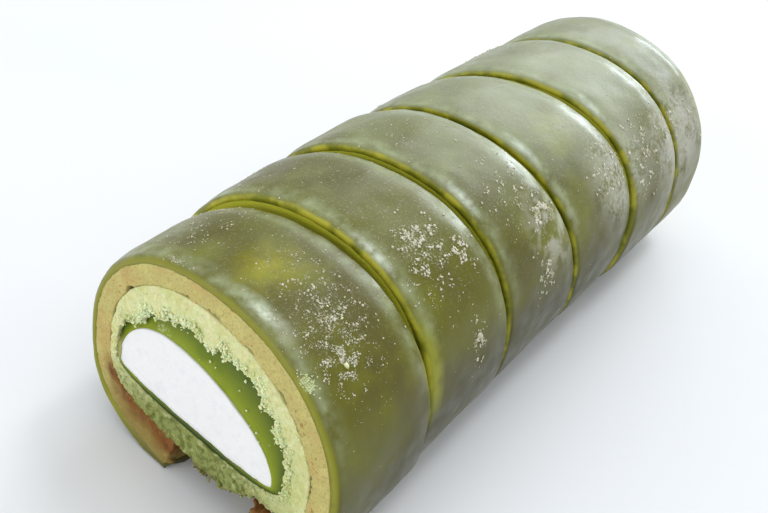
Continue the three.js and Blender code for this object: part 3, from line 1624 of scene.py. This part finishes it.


# Where highlights are painted on the skin, beside the cuts on the side of the window
PAINTED_RIM_HIGHLIGHTS = (
    (-54.3, -15.5, 47.8),
    (-27.8, -14.0, 49.0),
    (-1.8, -13.0, 49.3),
    (27.8, -13.0, 48.8),
    (55.6, -13.0, 48.8),
    (-51.2, -11.5, 49.8),
    (-24.2, -12.5, 50.2),
    (1.8, -12.0, 50.0),
    (31.6, -12.0, 49.4),
)

# Steamed rice-flour skin with green tea powder: chewy, a little see-through, and moist under
# a film of starch
RICE_SKIN = Finish(
    name="steamed rice flour skin",
    colour="#67661c",
    tints=(
        Tint("#5e5a22", 14.0, 0.42, 0.62),
        Tint("#565a26", 6.0, 0.0, 0.4, 0.35, patch=Patch((72.0, -6.0, 46.0), (22.0, 34.0, 30.0), 0.4)),
        Tint("#777816", 10.0, 0.5, 0.68, 0.7),
        # Painted shade: the lower right flank darker towards the floor.
        Tint("#3a380a", 20.0, 0.0, 0.3, 0.85, patch=Patch((-20.0, -34.0, 13.0), (100.0, 15.0, 26.0), 0.5)),
        Tint("#a09c10", 3.5, 0.25, 0.6, 0.75, patch=Patch((-69.0, -2.8, 51.0), (9.0, 7.5, 8.0), 0.15)),
        Tint("#9c9812", 3.0, 0.3, 0.6, 0.7, patch=Patch((14.0, -12.0, 50.0), (9.0, 8.0, 8.0), 0.2)),
        # Pale grey-green over the top: partly a haze of starch, partly a painted reflection of the bright
        # room.
        Tint("#949c7c", 10.0, 0.3, 0.62, 0.5, patch=Patch((20.0, 8.0, 58.0), (120.0, 42.0, 20.0), 0.4)),
        # Paler tops of the far slices: partly a film of starch, partly a painted reflection of the window.
        Tint("#9ea68a", 9.0, 0.0, 0.5, 0.58, patch=Patch((40.0, 2.0, 50.0), (82.0, 42.0, 28.0), 0.3)),
        Tint("#b3b59c", 0.5, 0.56, 0.7, 0.3, patch=Patch((0.0, 0.0, 52.0), (120.0, 50.0, 24.0), 0.4)),
        Tint("#c9c9b4", 0.35, 0.58, 0.66, 0.8, patch=Patch((-69.0, -16.0, 48.0), (9.0, 9.0, 7.0), 0.0)),
        Tint("#c9c9b4", 0.45, 0.54, 0.64, 0.8, patch=Patch((-42.0, -15.5, 49.0), (7.0, 6.0, 5.0), 0.0)),
        Tint("#b6b7a4", 4.0, 0.3, 0.5, 0.8, patch=Patch((28.0, -24.0, 41.0), (18.0, 16.0, 18.0), 0.1)),
        Tint("#c6c6b6", 1.0, 0.44, 0.6, 0.7, patch=Patch((27.0, -25.0, 41.0), (13.0, 12.0, 14.0), 0.2)),
        Tint("#b6b5a6", 4.0, 0.3, 0.52, 0.85, patch=Patch((60.0, -26.0, 38.0), (20.0, 14.0, 19.0), 0.3)),
        Tint("#c6c5b6", 1.0, 0.44, 0.6, 0.6, patch=Patch((58.0, -25.0, 40.0), (18.0, 12.0, 15.0), 0.2)),
        Tint("#b5b3a0", 3.0, 0.42, 0.6, 0.8, patch=Patch((-5.0, -25.0, 41.0), (11.0, 12.0, 12.0))),
        Tint("#a2aa84", 2.5, 0.4, 0.6, 0.4, patch=Patch((-70.0, 20.0, 45.0), (12.0, 9.0, 7.0))),
        Tint("#b5b3a0", 3.0, 0.42, 0.6, 0.8, patch=Patch((5.0, 29.0, 32.0), (15.0, 10.0, 14.0))),
        Tint("#bcbbaa", 4.0, 0.35, 0.55, 0.8, patch=Patch((47.0, 27.0, 36.0), (18.0, 12.0, 15.0))),
        # Painted sheen along the rims, where the skin is rounded over at the cuts.
        Tint("#aeb892", 3.0, 0.3, 0.7, 0.7, attribute="rim"),
        # Painted highlight on the first slice's front rim, with a brighter core.
        Tint("#b9c3a6", 1.6, 0.3, 0.6, 0.8, patch=Patch((-76.5, -8.0, 50.4), (2.2, 8.0, 4.0), 0.1)),
        Tint("#dde4d0", 0.7, 0.3, 0.55, 0.85, patch=Patch((-76.9, -9.2, 50.3), (1.2, 3.6, 2.6), 0.1)),
        # Painted highlights beside the cuts.
        *(Tint("#d2dccc", 1.5, 0.2, 0.6, 0.8, patch=Patch(at, (1.5, 7.0, 4.5), 0.1)) for at in PAINTED_RIM_HIGHLIGHTS),
        Tint("#9a9c26", 3.0, 0.1, 0.5, 0.8, patch=Patch((-52.5, -28.0, 34.0), (3.4, 8.0, 14.0), 0.4)),
        Tint("#aaa45c", 3.0, 0.1, 0.5, 0.7, patch=Patch((75.0, -24.0, 36.0), (2.8, 12.0, 14.0), 0.4)),
        Tint("#b5b97c", 1.0, 0.3, 0.5, 0.9, patch=Patch((-79.7, -20.7, 44.8), (1.4, 1.6, 3.0), 0.5)),
        Tint("#84831c", 2.0, 0.0, 0.4, 1.0, attribute="cut"),
        # Painted shade along the roll's foot, near the floor.
        Tint("#4c461a", 2.0, 0.0, 0.3, 0.85, patch=Patch((0.0, 5.0, 1.0), (200.0, 22.0, 9.0), 0.4)),
        Tint("#7f8220", 2.0, 0.0, 0.3, 1.0, attribute="groove"),
        Tint("#c2bc3c", 5.0, 0.42, 0.58, 0.85, attribute="groove"),
    ),
    grains=(Grain(1.4, 0.05), Grain(0.35, 0.02)),
    roughness=(0.32, 0.5),
    settings={
        "IOR": 1.42,
        "Specular IOR Level": 0.25,
        "Coat Weight": 0.18,
        "Coat Roughness": 0.2,
        "Coat IOR": 1.4,
        "Subsurface Weight": 0.3,
        "Subsurface Radius": (1.0, 0.9, 0.2),
        "Subsurface Scale": 0.002,
    },
)

# Firm egg cake, baked in a sheet: fine pores, and browned where it lay on the tin
EGG_CAKE = Finish(
    name="baked egg cake",
    colour="#c2b771",
    tints=(
        Tint("#bfa262", 8.0, 0.5, 0.66, 0.7),
        Tint("#cdc57b", 3.0, 0.5, 0.65, 0.6),
        Tint("#8f6226", 1.1, 0.64, 0.72, 0.7),
        Tint("#a08b48", 0.45, 0.5, 0.7, 0.6),
        Tint("#8a6a22", 0.8, 0.5, 0.62, 0.8, patch=Patch((-81.0, -21.3, 36.0), (4.0, 2.6, 3.2), 0.4)),
        # Painted shade: the cake's foot darker towards the floor.
        Tint("#84702f", 3.0, 0.1, 0.4, 0.85, patch=Patch((-75.0, 8.0, 2.0), (40.0, 36.0, 18.0), 0.4)),
        Tint("#7a4a12", 2.0, 0.1, 0.4, 0.95, attribute="browned"),
        Tint("#5f340f", 2.4, 0.48, 0.66, 0.6, attribute="browned"),
        # Painted shade inside the slits.
        Tint("#574618", 1.0, 0.1, 0.4, 0.95, attribute="slit"),
        Tint("#a6a624", 2.0, 0.0, 0.3, 1.0, attribute="smeared"),
    ),
    grains=(Grain(0.7, 0.12), Grain(0.3, 0.08, Pattern.CELLS)),
    roughness=(0.75, 0.9),
    settings={"IOR": 1.4, "Subsurface Weight": 0.2, "Subsurface Scale": 0.0015},
)

# Airy sponge with green tea powder, dry and crumbly where it was cut
TEA_SPONGE = Finish(
    name="green tea sponge cake",
    colour="#d6d79d",
    tints=(
        Tint("#c9cc84", 4.0, 0.45, 0.65, 0.7),
        Tint("#e6e8ba", 1.2, 0.5, 0.66, 0.5),
        # The next two tints are painted shade, darker towards the floor on the near face.
        Tint("#7f8944", 2.0, 0.1, 0.45, 0.92, patch=Patch((-78.0, 0.0, 7.0), (14.0, 38.0, 16.0), 0.5)),
        Tint("#5d6729", 1.3, 0.46, 0.6, 0.75, patch=Patch((-78.0, 0.0, 7.0), (14.0, 38.0, 16.0), 0.5)),
        # Painted shade on the right of the near face.
        Tint("#b9bf76", 3.0, 0.2, 0.6, 0.6, patch=Patch((-78.0, -21.0, 22.0), (12.0, 8.0, 14.0), 0.4)),
        Tint("#5c4c20", 1.5, 0.3, 0.5, 0.85, patch=Patch((0.0, -1.0, 8.2), (200.0, 9.0, 2.0), 0.3)),
    ),
    grains=(Grain(0.5, 0.15), Grain(0.25, 0.08)),
    roughness=(0.85, 0.95),
    settings={"IOR": 1.4, "Subsurface Weight": 0.3, "Subsurface Scale": 0.0012},
)

# The same sponge as loose crumbs, which are too small to have a grain of their own. Their colour is
# lighter than the sponge's: painted light that offsets the shade between the crumbs.
TEA_CRUMB = replace(
    TEA_SPONGE, name="green tea sponge crumbs", colour="#eceebe", grains=(Grain(0.3, 0.02),)
)

# Soft bean paste with green tea powder: smooth, dense and moist
TEA_PASTE = Finish(
    name="green tea bean paste",
    colour="#284209",
    tints=(
        # Bright green except at the very edge against the sponge, which keeps the dark base: painted shade
        # under the sponge's lip, and the paste's own deeper green.
        Tint("#8d9b14", 3.0, 0.0, 0.01, 1.0, attribute="nearness"),
        Tint("#4b6612", 5.0, 0.5, 0.7, 0.4),
        Tint("#c3cda4", 0.6, 0.48, 0.6, 0.8, patch=Patch((-79.0, 12.1, 32.8), (3.0, 2.8, 1.3), 0.4)),
        Tint("#a39c66", 2.0, 0.2, 0.5, 0.8, patch=Patch((-79.0, 23.2, 20.6), (4.0, 2.2, 4.5), 0.4)),
        # Painted shade: a dark band low on the near face, under the cream.
        Tint("#24380f", 2.0, 0.0, 0.3, 0.9, patch=Patch((-79.0, 0.0, 14.0), (60.0, 24.0, 5.0), 0.4)),
    ),
    grains=(Grain(1.5, 0.05), Grain(0.4, 0.02)),
    roughness=(0.45, 0.6),
    settings={
        "IOR": 1.45,
        "Specular IOR Level": 0.3,
        "Subsurface Weight": 0.25,
        "Subsurface Radius": (0.8, 1.0, 0.2),
        "Subsurface Scale": 0.002,
    },
)

# Whipped cream, set in the cold and cut: matte white with a fine grain
WHIPPED_CREAM = Finish(
    name="whipped cream",
    colour="#eae9e8",
    tints=(
        Tint("#dfe2e3", 2.0, 0.5, 0.7, 0.6),
        Tint("#d9dddc", 0.5, 0.6, 0.75, 0.5),
    ),
    grains=(Grain(0.5, 0.08), Grain(1.6, 0.1)),
    roughness=(0.6, 0.75),
    settings={
        "IOR": 1.35,
        "Subsurface Weight": 0.4,
        "Subsurface Radius": (1.0, 1.0, 0.95),
        "Subsurface Scale": 0.0015,
    },
)

# Potato starch, dusted on so that the skin doesn't stick: dry white clots
STARCH = Finish(
    name="potato starch",
    colour="#dcd8c4",
    tints=(Tint("#bcb894", 1.5, 0.45, 0.6, 0.8),),
    grains=(Grain(0.2, 0.05),),
    roughness=(0.85, 0.95),
    settings={"IOR": 1.4},
)

# The plain matte floor under the roll
FLOOR_FINISH = Finish(
    name="matte white table top",
    colour="#ebecee",
    tints=(Tint("#e5e7ea", 180.0, 0.45, 0.6, 0.6),),
    grains=(Grain(6.0, 0.02),),
    roughness=(0.8, 0.9),
    settings={},
)

FINISHES = {
    Layer.SKIN: RICE_SKIN,
    Layer.CAKE: EGG_CAKE,
    Layer.SPONGE: TEA_SPONGE,
    Layer.PASTE: TEA_PASTE,
    Layer.CREAM: WHIPPED_CREAM,
}


def dress(piece: bpy.types.Object, finish: Finish) -> None:
    """Gives a piece its one material."""
    piece.data.materials.clear()
    piece.data.materials.append(finish.material())


@dataclass(frozen=True)
class Seat:
    """Where one grain sits: its place in metres, the way it faces and its size in millimetres."""

    place: Vector
    facing: Vector
    size: float


@dataclass
class Scatter(ABC):
    """Small things of one kind, scattered and joined as one piece."""

    name: str
    finish: Finish
    slot: Layer
    seed: int
    shapes: int = 5
    flatness: float = 0.7
    raggedness: float = 0.28
    stretch: tuple[float, float] = (0.75, 1.3)
    tumbled: bool = True

    @abstractmethod
    def seats(self, draw: random.Random) -> Iterator[Seat]:
        """Where the grains sit."""

    def grain(self, index: int) -> tuple[np.ndarray, np.ndarray]:
        """Models one grain of unit size.

        Args:
            index: the grain's number, which seeds its shape.

        Returns:
            Its corners and its triangles.
        """
        deselect_all()
        bpy.ops.mesh.primitive_ico_sphere_add(subdivisions=1, radius=0.5)
        grain = bpy.context.object
        with editing(grain, "VERT"):
            bpy.ops.mesh.select_all(action="SELECT")
            bpy.ops.transform.resize(value=(1, 1, self.flatness))
            bpy.ops.transform.vertex_random(offset=self.raggedness, seed=self.seed + index)
        corners = np.array([vertex.co for vertex in grain.data.vertices])
        triangles = np.array([polygon.vertices for polygon in grain.data.polygons])
        bpy.data.objects.remove(grain)
        return corners, triangles

    def build(self) -> bpy.types.Object:
        """Sets a copy of one of a few grains at every seat.

        Returns:
            The piece.
        """
        draw = random.Random(self.seed)
        grains = [self.grain(index) for index in range(self.shapes)]
        corners, triangles, count = [], [], 0
        for seat in self.seats(draw):
            points, faces = draw.choice(grains)
            turn = seat.facing.to_track_quat("Z", "Y").to_matrix()
            turn = turn @ Matrix.Rotation(draw.uniform(0, 2 * math.pi), 3, "Z")
            if self.tumbled:
                turn = turn @ Matrix.Rotation(draw.uniform(0, 2 * math.pi), 3, "X")
            points = points * [draw.uniform(*self.stretch), draw.uniform(*self.stretch), 1.0]
            corners.append(points @ np.array(turn).T * seat.size * MM + np.array(seat.place))
            triangles.append(faces + count)
            count += len(points)
        mesh = bpy.data.meshes.new(self.name)
        mesh.from_pydata(np.concatenate(corners).tolist(), [], np.concatenate(triangles).tolist())
        mesh.shade_smooth()
        piece = bpy.data.objects.new(self.name, mesh)
        bpy.context.collection.objects.link(piece)
        dress(piece, self.finish)
        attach(piece, "root")
        LOG.info("%s: %d faces", piece.name, len(mesh.polygons))
        return piece


@dataclass(frozen=True)
class Dusting:
    """A patch of starch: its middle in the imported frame, its spread, and its flakes."""

    middle: tuple[float, float, float]
    along: float
    round: float
    count: int
    least: float = 0.12
    most: float = 0.5


@dataclass
class Starch(Scatter):
    """Starch on the skin."""

    skins: list[bpy.types.Object] = field(default_factory=list)
    tries: int = 3
    clots: Ripple = Ripple(1.0, 1.9)
    clotting: tuple[float, float] = (0.1, 0.12)
    rarity_of_large: int = 4
    lift: float = 0.1
    steepest: float = 0.7
    lowest: float = 1.25 * HALF_WIDTH
    dustings: tuple[Dusting, ...] = (
        Dusting((-66.0, -10.0, 50.0), 5.0, 4.5, 220, 0.1, 0.5),
        Dusting((-67.0, -15.5, 48.5), 4.0, 3.2, 420, 0.1, 0.45),
        Dusting((-71.5, -21.0, 45.0), 2.6, 2.4, 560, 0.1, 0.42),
        Dusting((-70.0, -20.0, 46.0), 5.0, 5.5, 420, 0.1, 0.35),
        Dusting((-77.2, 11.0, 49.0), 0.5, 2.6, 70, 0.1, 0.35),
        Dusting((-64.0, -4.0, 51.5), 4.0, 3.0, 120, 0.1, 0.4),
        Dusting((-41.0, -14.6, 49.5), 3.2, 2.4, 420, 0.15, 0.7),
        Dusting((-45.0, -19.0, 47.0), 4.5, 4.0, 300),
        Dusting((-34.0, -19.5, 47.0), 2.0, 2.0, 160, 0.15, 0.7),
        Dusting((-7.2, -22.5, 44.2), 2.4, 1.6, 320, 0.15, 0.8),
        Dusting((-12.0, -16.0, 49.0), 5.0, 4.5, 260, 0.15, 0.6),
        Dusting((24.2, -23.8, 42.3), 4.0, 3.5, 420, 0.15, 0.8),
        Dusting((40.0, -25.0, 41.0), 3.0, 5.5, 420, 0.15, 0.8),
        Dusting((60.0, -24.0, 42.0), 5.5, 4.0, 360, 0.15, 0.8),
        Dusting((-9.4, -29.3, 33.7), 0.9, 2.6, 170, 0.15, 0.7),
        Dusting((-12.4, -29.3, 33.7), 0.7, 2.6, 90, 0.15, 0.6),
        Dusting((-37.4, -29.8, 32.8), 1.0, 2.6, 150, 0.15, 0.7),
        Dusting((-66.0, 14.0, 48.5), 7.0, 4.0, 260, 0.1, 0.35),
        Dusting((-60.0, 19.0, 46.0), 5.0, 3.0, 200, 0.1, 0.35),
        Dusting((-20.0, 10.0, 50.0), 10.0, 6.0, 200, 0.1, 0.4),
        Dusting((-40.0, 28.0, 36.0), 4.0, 4.5, 280, 0.15, 0.7),
        Dusting((6.0, 29.0, 32.0), 3.5, 4.5, 260, 0.15, 0.8),
        Dusting((46.0, 27.0, 38.0), 4.5, 5.0, 300, 0.15, 0.8),
        Dusting((0.0, 0.0, 52.0), 45.0, 22.0, 900, 0.1, 0.3),
    )

    def seats(self, draw: random.Random) -> Iterator[Seat]:
        """Flakes that lie flat on the skin in clots, thickest at the middle of each dusting.

        Args:
            draw: the seeded source of chance.

        Returns:
            The seats, one by one.
        """
        for dusting in self.dustings:
            x, y, z = dusting.middle
            angle = math.atan2(z - WIDEST_LEVEL, y)
            for _ in range(dusting.count * self.tries):
                along = x + draw.gauss(0, dusting.along)
                way = angle + draw.gauss(0, dusting.round) / HALF_WIDTH
                if self.clots.at(along, way * HALF_WIDTH, 0.0) < draw.gauss(*self.clotting):
                    continue
                share = draw.random() ** self.rarity_of_large
                size = dusting.least + (dusting.most - dusting.least) * share
                seat = self.seat_on_skin(along, way, size)
                if seat:
                    yield seat

    def seat_on_skin(self, x: float, angle: float, size: float) -> Optional[Seat]:
        """The place on the skin at an angle round the roll, if it isn't in a cut.

        Args:
            x: the place along the roll.
            angle: the angle round it.
            size: the flake's size.

        Returns:
            The seat, or nothing where a cut or the flank is in the way.
        """
        way = Vector((0, math.cos(angle), math.sin(angle)))
        start = Vector((x, 0, WIDEST_LEVEL)) * MM + way * HALF_WIDTH * 2 * MM
        for skin in self.skins:
            hit, place, normal, _ = skin.ray_cast(start, -way)
            near = hit and (place - start).length < self.lowest * MM
            if near and normal.dot(way) > self.steepest:
                return Seat(place + normal * size * self.lift * MM, normal, size)
        return None


@dataclass(frozen=True)
class Lump:
    """Crumbs that stick together: how many, how far apart, and their least and largest size."""

    grains: tuple[int, int]
    spread: float
    least: float
    most: float
    rarity_of_large: int = 1

    def seats(self, draw: random.Random, middle: Vector, facing: Vector) -> Iterator[Seat]:
        """The seats of one lump's crumbs.

        Args:
            draw: the seeded source of chance.
            middle: the lump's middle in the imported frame, in metres.
            facing: the way the crumbs face.

        Returns:
            The seats, one by one.
        """
        for _ in range(draw.randint(*self.grains)):
            step = Vector([draw.gauss(0, self.spread) for _ in range(3)])
            share = draw.random() ** self.rarity_of_large
            yield Seat(middle + step * MM, facing, self.least + (self.most - self.least) * share)


@dataclass(frozen=True)
class Strewing:
    """Crumbs strewn over one layer of a cut face.

    The arc is in radians round the layer. The share of its thickness that they cover is counted
    from the inside, and a crowding over 1 brings more of them there.
    """

    outside: Outline
    inside: Outline
    count: int
    arc: tuple[float, float]
    sizes: tuple[float, float]
    sunk: float
    covered: float = 1.0
    crowding: float = 1.0


@dataclass(frozen=True)
class Smear:
    """Crumbs that stick to the skin: where along and round the roll, their spread and size."""

    x: float
    angle: float
    spread: float
    count: int
    size: float


ON_SPONGE = Strewing(
    CAKE_IN, SPONGE_IN, 500, (-math.pi, math.pi), (0.2, 0.45), sunk=0.4, crowding=1.6
)
ON_PASTE = Strewing(SPONGE_IN, PASTE_IN, 18, (1.0, 2.6), (0.2, 0.55), sunk=0.1, covered=0.75)

# A smear at the front rim, a larger crumb among the starch, and a few more about it
SMEARS = (
    Smear(-79.4, 2.313, 1.0, 110, 0.28),
    Smear(-71.5, 2.356, 0.02, 1, 1.3),
    Smear(-66.5, 2.25, 4.0, 14, 0.4),
)


@dataclass
class Crumbs(Scatter):
    """Sponge crumbs: along the torn edge, on the cut faces and where they have fallen."""

    roll: dict[int, dict[Layer, bpy.types.Object]] = field(default_factory=dict)
    skins: list[bpy.types.Object] = field(default_factory=list)
    torn: Lump = Lump((8, 15), 0.3, 0.25, 0.75, rarity_of_large=2)
    torn_lumps: int = 260
    torn_arc: tuple[float, float] = (0.5, 3.3)
    torn_reach: tuple[float, float] = (-1.5, 0.15)
    torn_depth: tuple[float, float] = (0.35, 0.1)
    hanging: Lump = Lump((5, 10), 0.45, 0.45, 1.05)
    hanging_lumps: int = 60
    hanging_from: float = SLOT_RIGHT - 4.0
    hanging_depth: tuple[float, float] = (0.2, 3.0)
    probe: float = 12.0
    smear_stretch: float = 0.6
    smear_sizes: tuple[float, float] = (0.7, 1.2)
    smear_lift: float = 0.2

    def seats(self, draw: random.Random) -> Iterator[Seat]:
        """All crumbs.

        Args:
            draw: the seeded source of chance.

        Returns:
            Their seats, one by one.
        """
        for home in (SLICES[0], SLICES[-1]):
            for end in End:
                if home.is_open(end):
                    yield from self.torn_edge(draw, home, end)
                    yield from self.strewn(draw, home, end, ON_SPONGE)
                    yield from self.underside(draw, home, end)
                    yield from self.strewn(draw, home, end, ON_PASTE)
        yield from self.smeared(draw)

    def seat_on_face(
        self, home: Slice, end: End, y: float, z: float, size: float, sunk: float
    ) -> Optional[Seat]:
        """The place of a crumb on a cut face.

        Args:
            home: the slice.
            end: its face.
            y: the place across the roll's own axes.
            z: the height.
            size: the crumb's size.
            sunk: how far the crumb sits in the face, as a share of its size.

        Returns:
            The seat, or nothing where there is no face.
        """
        across, up = home.settled(end, (y, z))
        out = Vector((-end.value, 0, 0))
        start = Vector((home.face(end).x_at(across, up), across, up)) * MM
        start += FRAME_SHIFT + out * self.probe * MM
        found = []
        for piece in self.roll[home.number].values():
            hit, place, _, _ = piece.ray_cast(start, -out)
            if hit:
                found.append(place)
        if not found:
            return None
        nearest = min(found, key=lambda place: (place - start).length)
        return Seat(nearest + out * size * (0.5 - sunk) * MM, out, size)

    def torn_edge(self, draw: random.Random, home: Slice, end: End) -> Iterator[Seat]:
        """Lumps that hang over the paste from the sponge's inner edge.

        Args:
            draw: the seeded source of chance.
            home: the slice.
            end: its face.

        Returns:
            The seats, one by one.
        """
        out = Vector((-end.value, 0, 0))
        for _ in range(self.torn_lumps):
            y, z = SPONGE_IN.at(draw.uniform(*self.torn_arc))
            reach = LIP.overhang(y, z) + draw.uniform(*self.torn_reach)
            across, up = home.settled(end, Vector((y, z)) - LIP.away(y, z) * reach)
            x = home.face(end).x_at(across, up) + end.value * draw.uniform(*self.torn_depth)
            yield from self.torn.seats(draw, Vector((x, across, up)) * MM + FRAME_SHIFT, out)

    def strewn(
        self, draw: random.Random, home: Slice, end: End, strewing: Strewing
    ) -> Iterator[Seat]:
        """Crumbs that lie on one layer of a cut face.

        Args:
            draw: the seeded source of chance.
            home: the slice.
            end: its face.
            strewing: which layer, how many and how large.

        Returns:
            The seats, one by one.
        """
        for _ in range(strewing.count):
            angle = draw.uniform(*strewing.arc)
            share = strewing.covered * draw.random() ** strewing.crowding
            outside, inside = strewing.outside.at(angle), strewing.inside.at(angle)
            y, z = (inside[i] + (outside[i] - inside[i]) * share for i in range(2))
            size = draw.uniform(*strewing.sizes)
            seat = self.seat_on_face(home, end, y, z, size, strewing.sunk)
            if seat:
                yield seat

    def underside(self, draw: random.Random, home: Slice, end: End) -> Iterator[Seat]:
        """Ragged lumps under the sponge, most of them beside the torn end of the cake.

        Args:
            draw: the seeded source of chance.
            home: the slice.
            end: its face.

        Returns:
            The seats, one by one.
        """
        sponge = self.roll[home.number][Layer.SPONGE]
        out = Vector((-end.value, 0, 0))
        for _ in range(self.hanging_lumps):
            y = draw.triangular(self.hanging_from, SLOT_LEFT, SLOT_RIGHT)
            across, up = home.settled(end, (y, FOOT_HEIGHT))
            x = home.face(end).x_at(across, up) + end.value * draw.uniform(*self.hanging_depth)
            below = Vector((x, across, 0.0)) * MM + FRAME_SHIFT
            hit, place, _, _ = sponge.ray_cast(below, Vector((0, 0, 1)))
            if hit:
                yield from self.hanging.seats(draw, place, out)

    def smeared(self, draw: random.Random) -> Iterator[Seat]:
        """Crumbs that stick to the first slice's skin.

        Args:
            draw: the seeded source of chance.

        Returns:
            The seats, one by one.
        """
        for smear in SMEARS:
            for _ in range(smear.count):
                way = smear.angle + draw.gauss(0, smear.spread) / HALF_WIDTH
                direction = Vector((0, math.cos(way), math.sin(way)))
                x = smear.x + draw.gauss(0, smear.spread * self.smear_stretch)
                start = Vector((x, 0, WIDEST_LEVEL)) * MM + direction * HALF_WIDTH * 2 * MM
                hit, place, normal, _ = self.skins[0].ray_cast(start, -direction)
                if hit:
                    size = smear.size * draw.uniform(*self.smear_sizes)
                    yield Seat(place + normal * size * self.smear_lift * MM, normal, size)


# How many steps a layer has over the roll and across a face, with and without a face in view
FINE_STEPS = {
    Layer.SKIN: (220, 1),
    Layer.CAKE: (460, 16),
    Layer.SPONGE: (420, 24),
    Layer.PASTE: (240, 12),
    Layer.CREAM: (320, 10),
}
COARSE_STEPS = {
    Layer.SKIN: (220, 1),
    Layer.CAKE: (96, 4),
    Layer.SPONGE: (96, 2),
    Layer.PASTE: (80, 2),
    Layer.CREAM: (80, 10),
}
SKIN_CUTS = 15  # how many loops the skin has along a slice, for its waves


@dataclass
class SliceOfRoll:
    """One slice with all its layers."""

    home: Slice

    def layers(self) -> list[LayerPiece]:
        """The layers, from the outside in.

        Returns:
            One piece for each layer, not yet built.
        """
        home = self.home
        steps = FINE_STEPS if any(home.is_open(end) for end in End) else COARSE_STEPS
        return [
            Skin(
                home, Layer.SKIN, SKIN_OUT, SKIN_IN, *steps[Layer.SKIN],
                deep_steps=0, long_cuts=SKIN_CUTS,
            ),
            Cake(home, Layer.CAKE, outside_of(SKIN_IN), CAKE_IN, *steps[Layer.CAKE]),
            Sponge(
                home, Layer.SPONGE, outside_of(CAKE_IN), SPONGE_IN, *steps[Layer.SPONGE],
                sag=SPONGE_SAG,
            ),
            Paste(home, Layer.PASTE, outside_of(SPONGE_IN), PASTE_IN, *steps[Layer.PASTE]),
            Cream(home, Layer.CREAM, outside_of(PASTE_IN), None, *steps[Layer.CREAM]),
        ]

    def build(self) -> dict[Layer, bpy.types.Object]:
        """Models, dresses and registers every layer.

        Returns:
            The pieces by layer.
        """
        pieces = {}
        for layer in self.layers():
            piece = layer.build()
            dress(piece, FINISHES[layer.layer])
            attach(piece, "root")
            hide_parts(self.home.node(layer.layer))
            pieces[layer.layer] = piece
            LOG.info("%s: %d faces", piece.name, len(piece.data.polygons))
        return pieces


@dataclass(frozen=True)
class SoftLight:
    """A large soft light: which way it lies from the roll, how far, how wide and how strong."""

    name: str
    direction: tuple[float, float, float]
    distance: float
    width: float
    height: float
    power: float
    colour: str = "#ffffff"

    def build(self, target: Vector) -> None:
        """Adds the light, turned to the target.

        Args:
            target: the point that it shines at.
        """
        way = Vector(self.direction).normalized()
        deselect_all()
        bpy.ops.object.light_add(type="AREA", location=target + way * self.distance)
        light = bpy.context.object
        light.name = self.name
        light.rotation_euler = way.to_track_quat("Z", "Y").to_euler()
        light.data.shape = "RECTANGLE"
        light.data.size, light.data.size_y = self.width, self.height
        light.data.energy = self.power
        light.data.color = linear(self.colour)[:3]


@dataclass
class Studio:
    """The floor, the light and the camera."""

    target: Vector = field(default_factory=lambda: Vector((0.0, 0.0, 0.025)))
    floor_size: float = 6.0
    world_colour: str = "#eef2f6"
    world_strength: float = 0.58
    camera_place: tuple[float, float, float] = (-172.55, -81.93, 158.1)
    camera_right: tuple[float, float, float] = (0.588, -0.793, 0.161)
    camera_up: tuple[float, float, float] = (0.422, 0.470, 0.775)
    lens: float = 47.62
    sensor: float = 36.0
    lights: tuple[SoftLight, ...] = (
        SoftLight("window", (0.85, 0.18, 0.48), 1.3, 0.9, 0.7, 6.0, "#f6faff"),
        SoftLight("low window", (1.0, 0.0, 0.27), 1.3, 0.45, 0.2, 4.5, "#eaf6ff"),
        SoftLight("ceiling", (-0.1, -0.2, 1.0), 1.4, 1.8, 1.8, 8.0),
        SoftLight("lamp", (0.35, -0.15, 0.93), 1.4, 0.25, 0.25, 3.0),
        SoftLight("fill", (-0.93, 0.3, 0.25), 1.2, 0.9, 0.7, 5.5),
    )

    def build(self) -> None:
        """Sets everything up."""
        self.lay_floor()
        self.light_room()
        self.aim_camera()

    def lay_floor(self) -> None:
        """Adds the floor."""
        deselect_all()
        bpy.ops.mesh.primitive_plane_add(size=self.floor_size, location=(0, 0, 0))
        floor = bpy.context.object
        floor.name = "floor"
        dress(floor, FLOOR_FINISH)
        floor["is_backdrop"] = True

    def light_room(self) -> None:
        """Adds the lights and the pale surroundings."""
        for light in self.lights:
            light.build(self.target)
        scene = bpy.context.scene
        scene.world = scene.world or bpy.data.worlds.new("room")
        scene.world.use_nodes = True
        background = scene.world.node_tree.nodes["Background"]
        background.inputs["Color"].default_value = linear(self.world_colour)
        background.inputs["Strength"].default_value = self.world_strength
        scene.view_settings.view_transform = "Standard"

    def aim_camera(self) -> None:
        """Adds the camera at the photograph's place."""
        deselect_all()
        bpy.ops.object.camera_add()
        camera = bpy.context.object
        right, up = Vector(self.camera_right).normalized(), Vector(self.camera_up)
        back = right.cross(up).normalized()
        axes = Matrix((right, back.cross(right), back)).transposed()
        camera.matrix_world = Matrix.Translation(Vector(self.camera_place) * MM) @ axes.to_4x4()
        camera.data.lens = self.lens
        camera.data.sensor_width = self.sensor
        camera.data.dof.use_dof = False
        bpy.context.scene.camera = camera


def write_sizes() -> None:
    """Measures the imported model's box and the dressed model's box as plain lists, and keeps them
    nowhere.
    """
    boxes = {"cad": CAD_BOX, "visual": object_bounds()}
    plain = {name: [list(corner) for corner in box] for name, box in boxes.items()}


def main() -> None:
    """Builds the roll and the studio."""
    logging.basicConfig(level=logging.INFO, format="%(message)s")
    Studio().build()
    roll = {home.number: SliceOfRoll(home).build() for home in SLICES}
    skins = [pieces[Layer.SKIN] for pieces in roll.values()]
    Starch("starch", STARCH, Layer.SKIN, 11, flatness=0.45, tumbled=False, skins=skins).build()
    Crumbs("crumbs", TEA_CRUMB, Layer.SPONGE, 23, roll=roll, skins=skins).build()
    write_sizes()


if __name__ == "__main__":
    main()
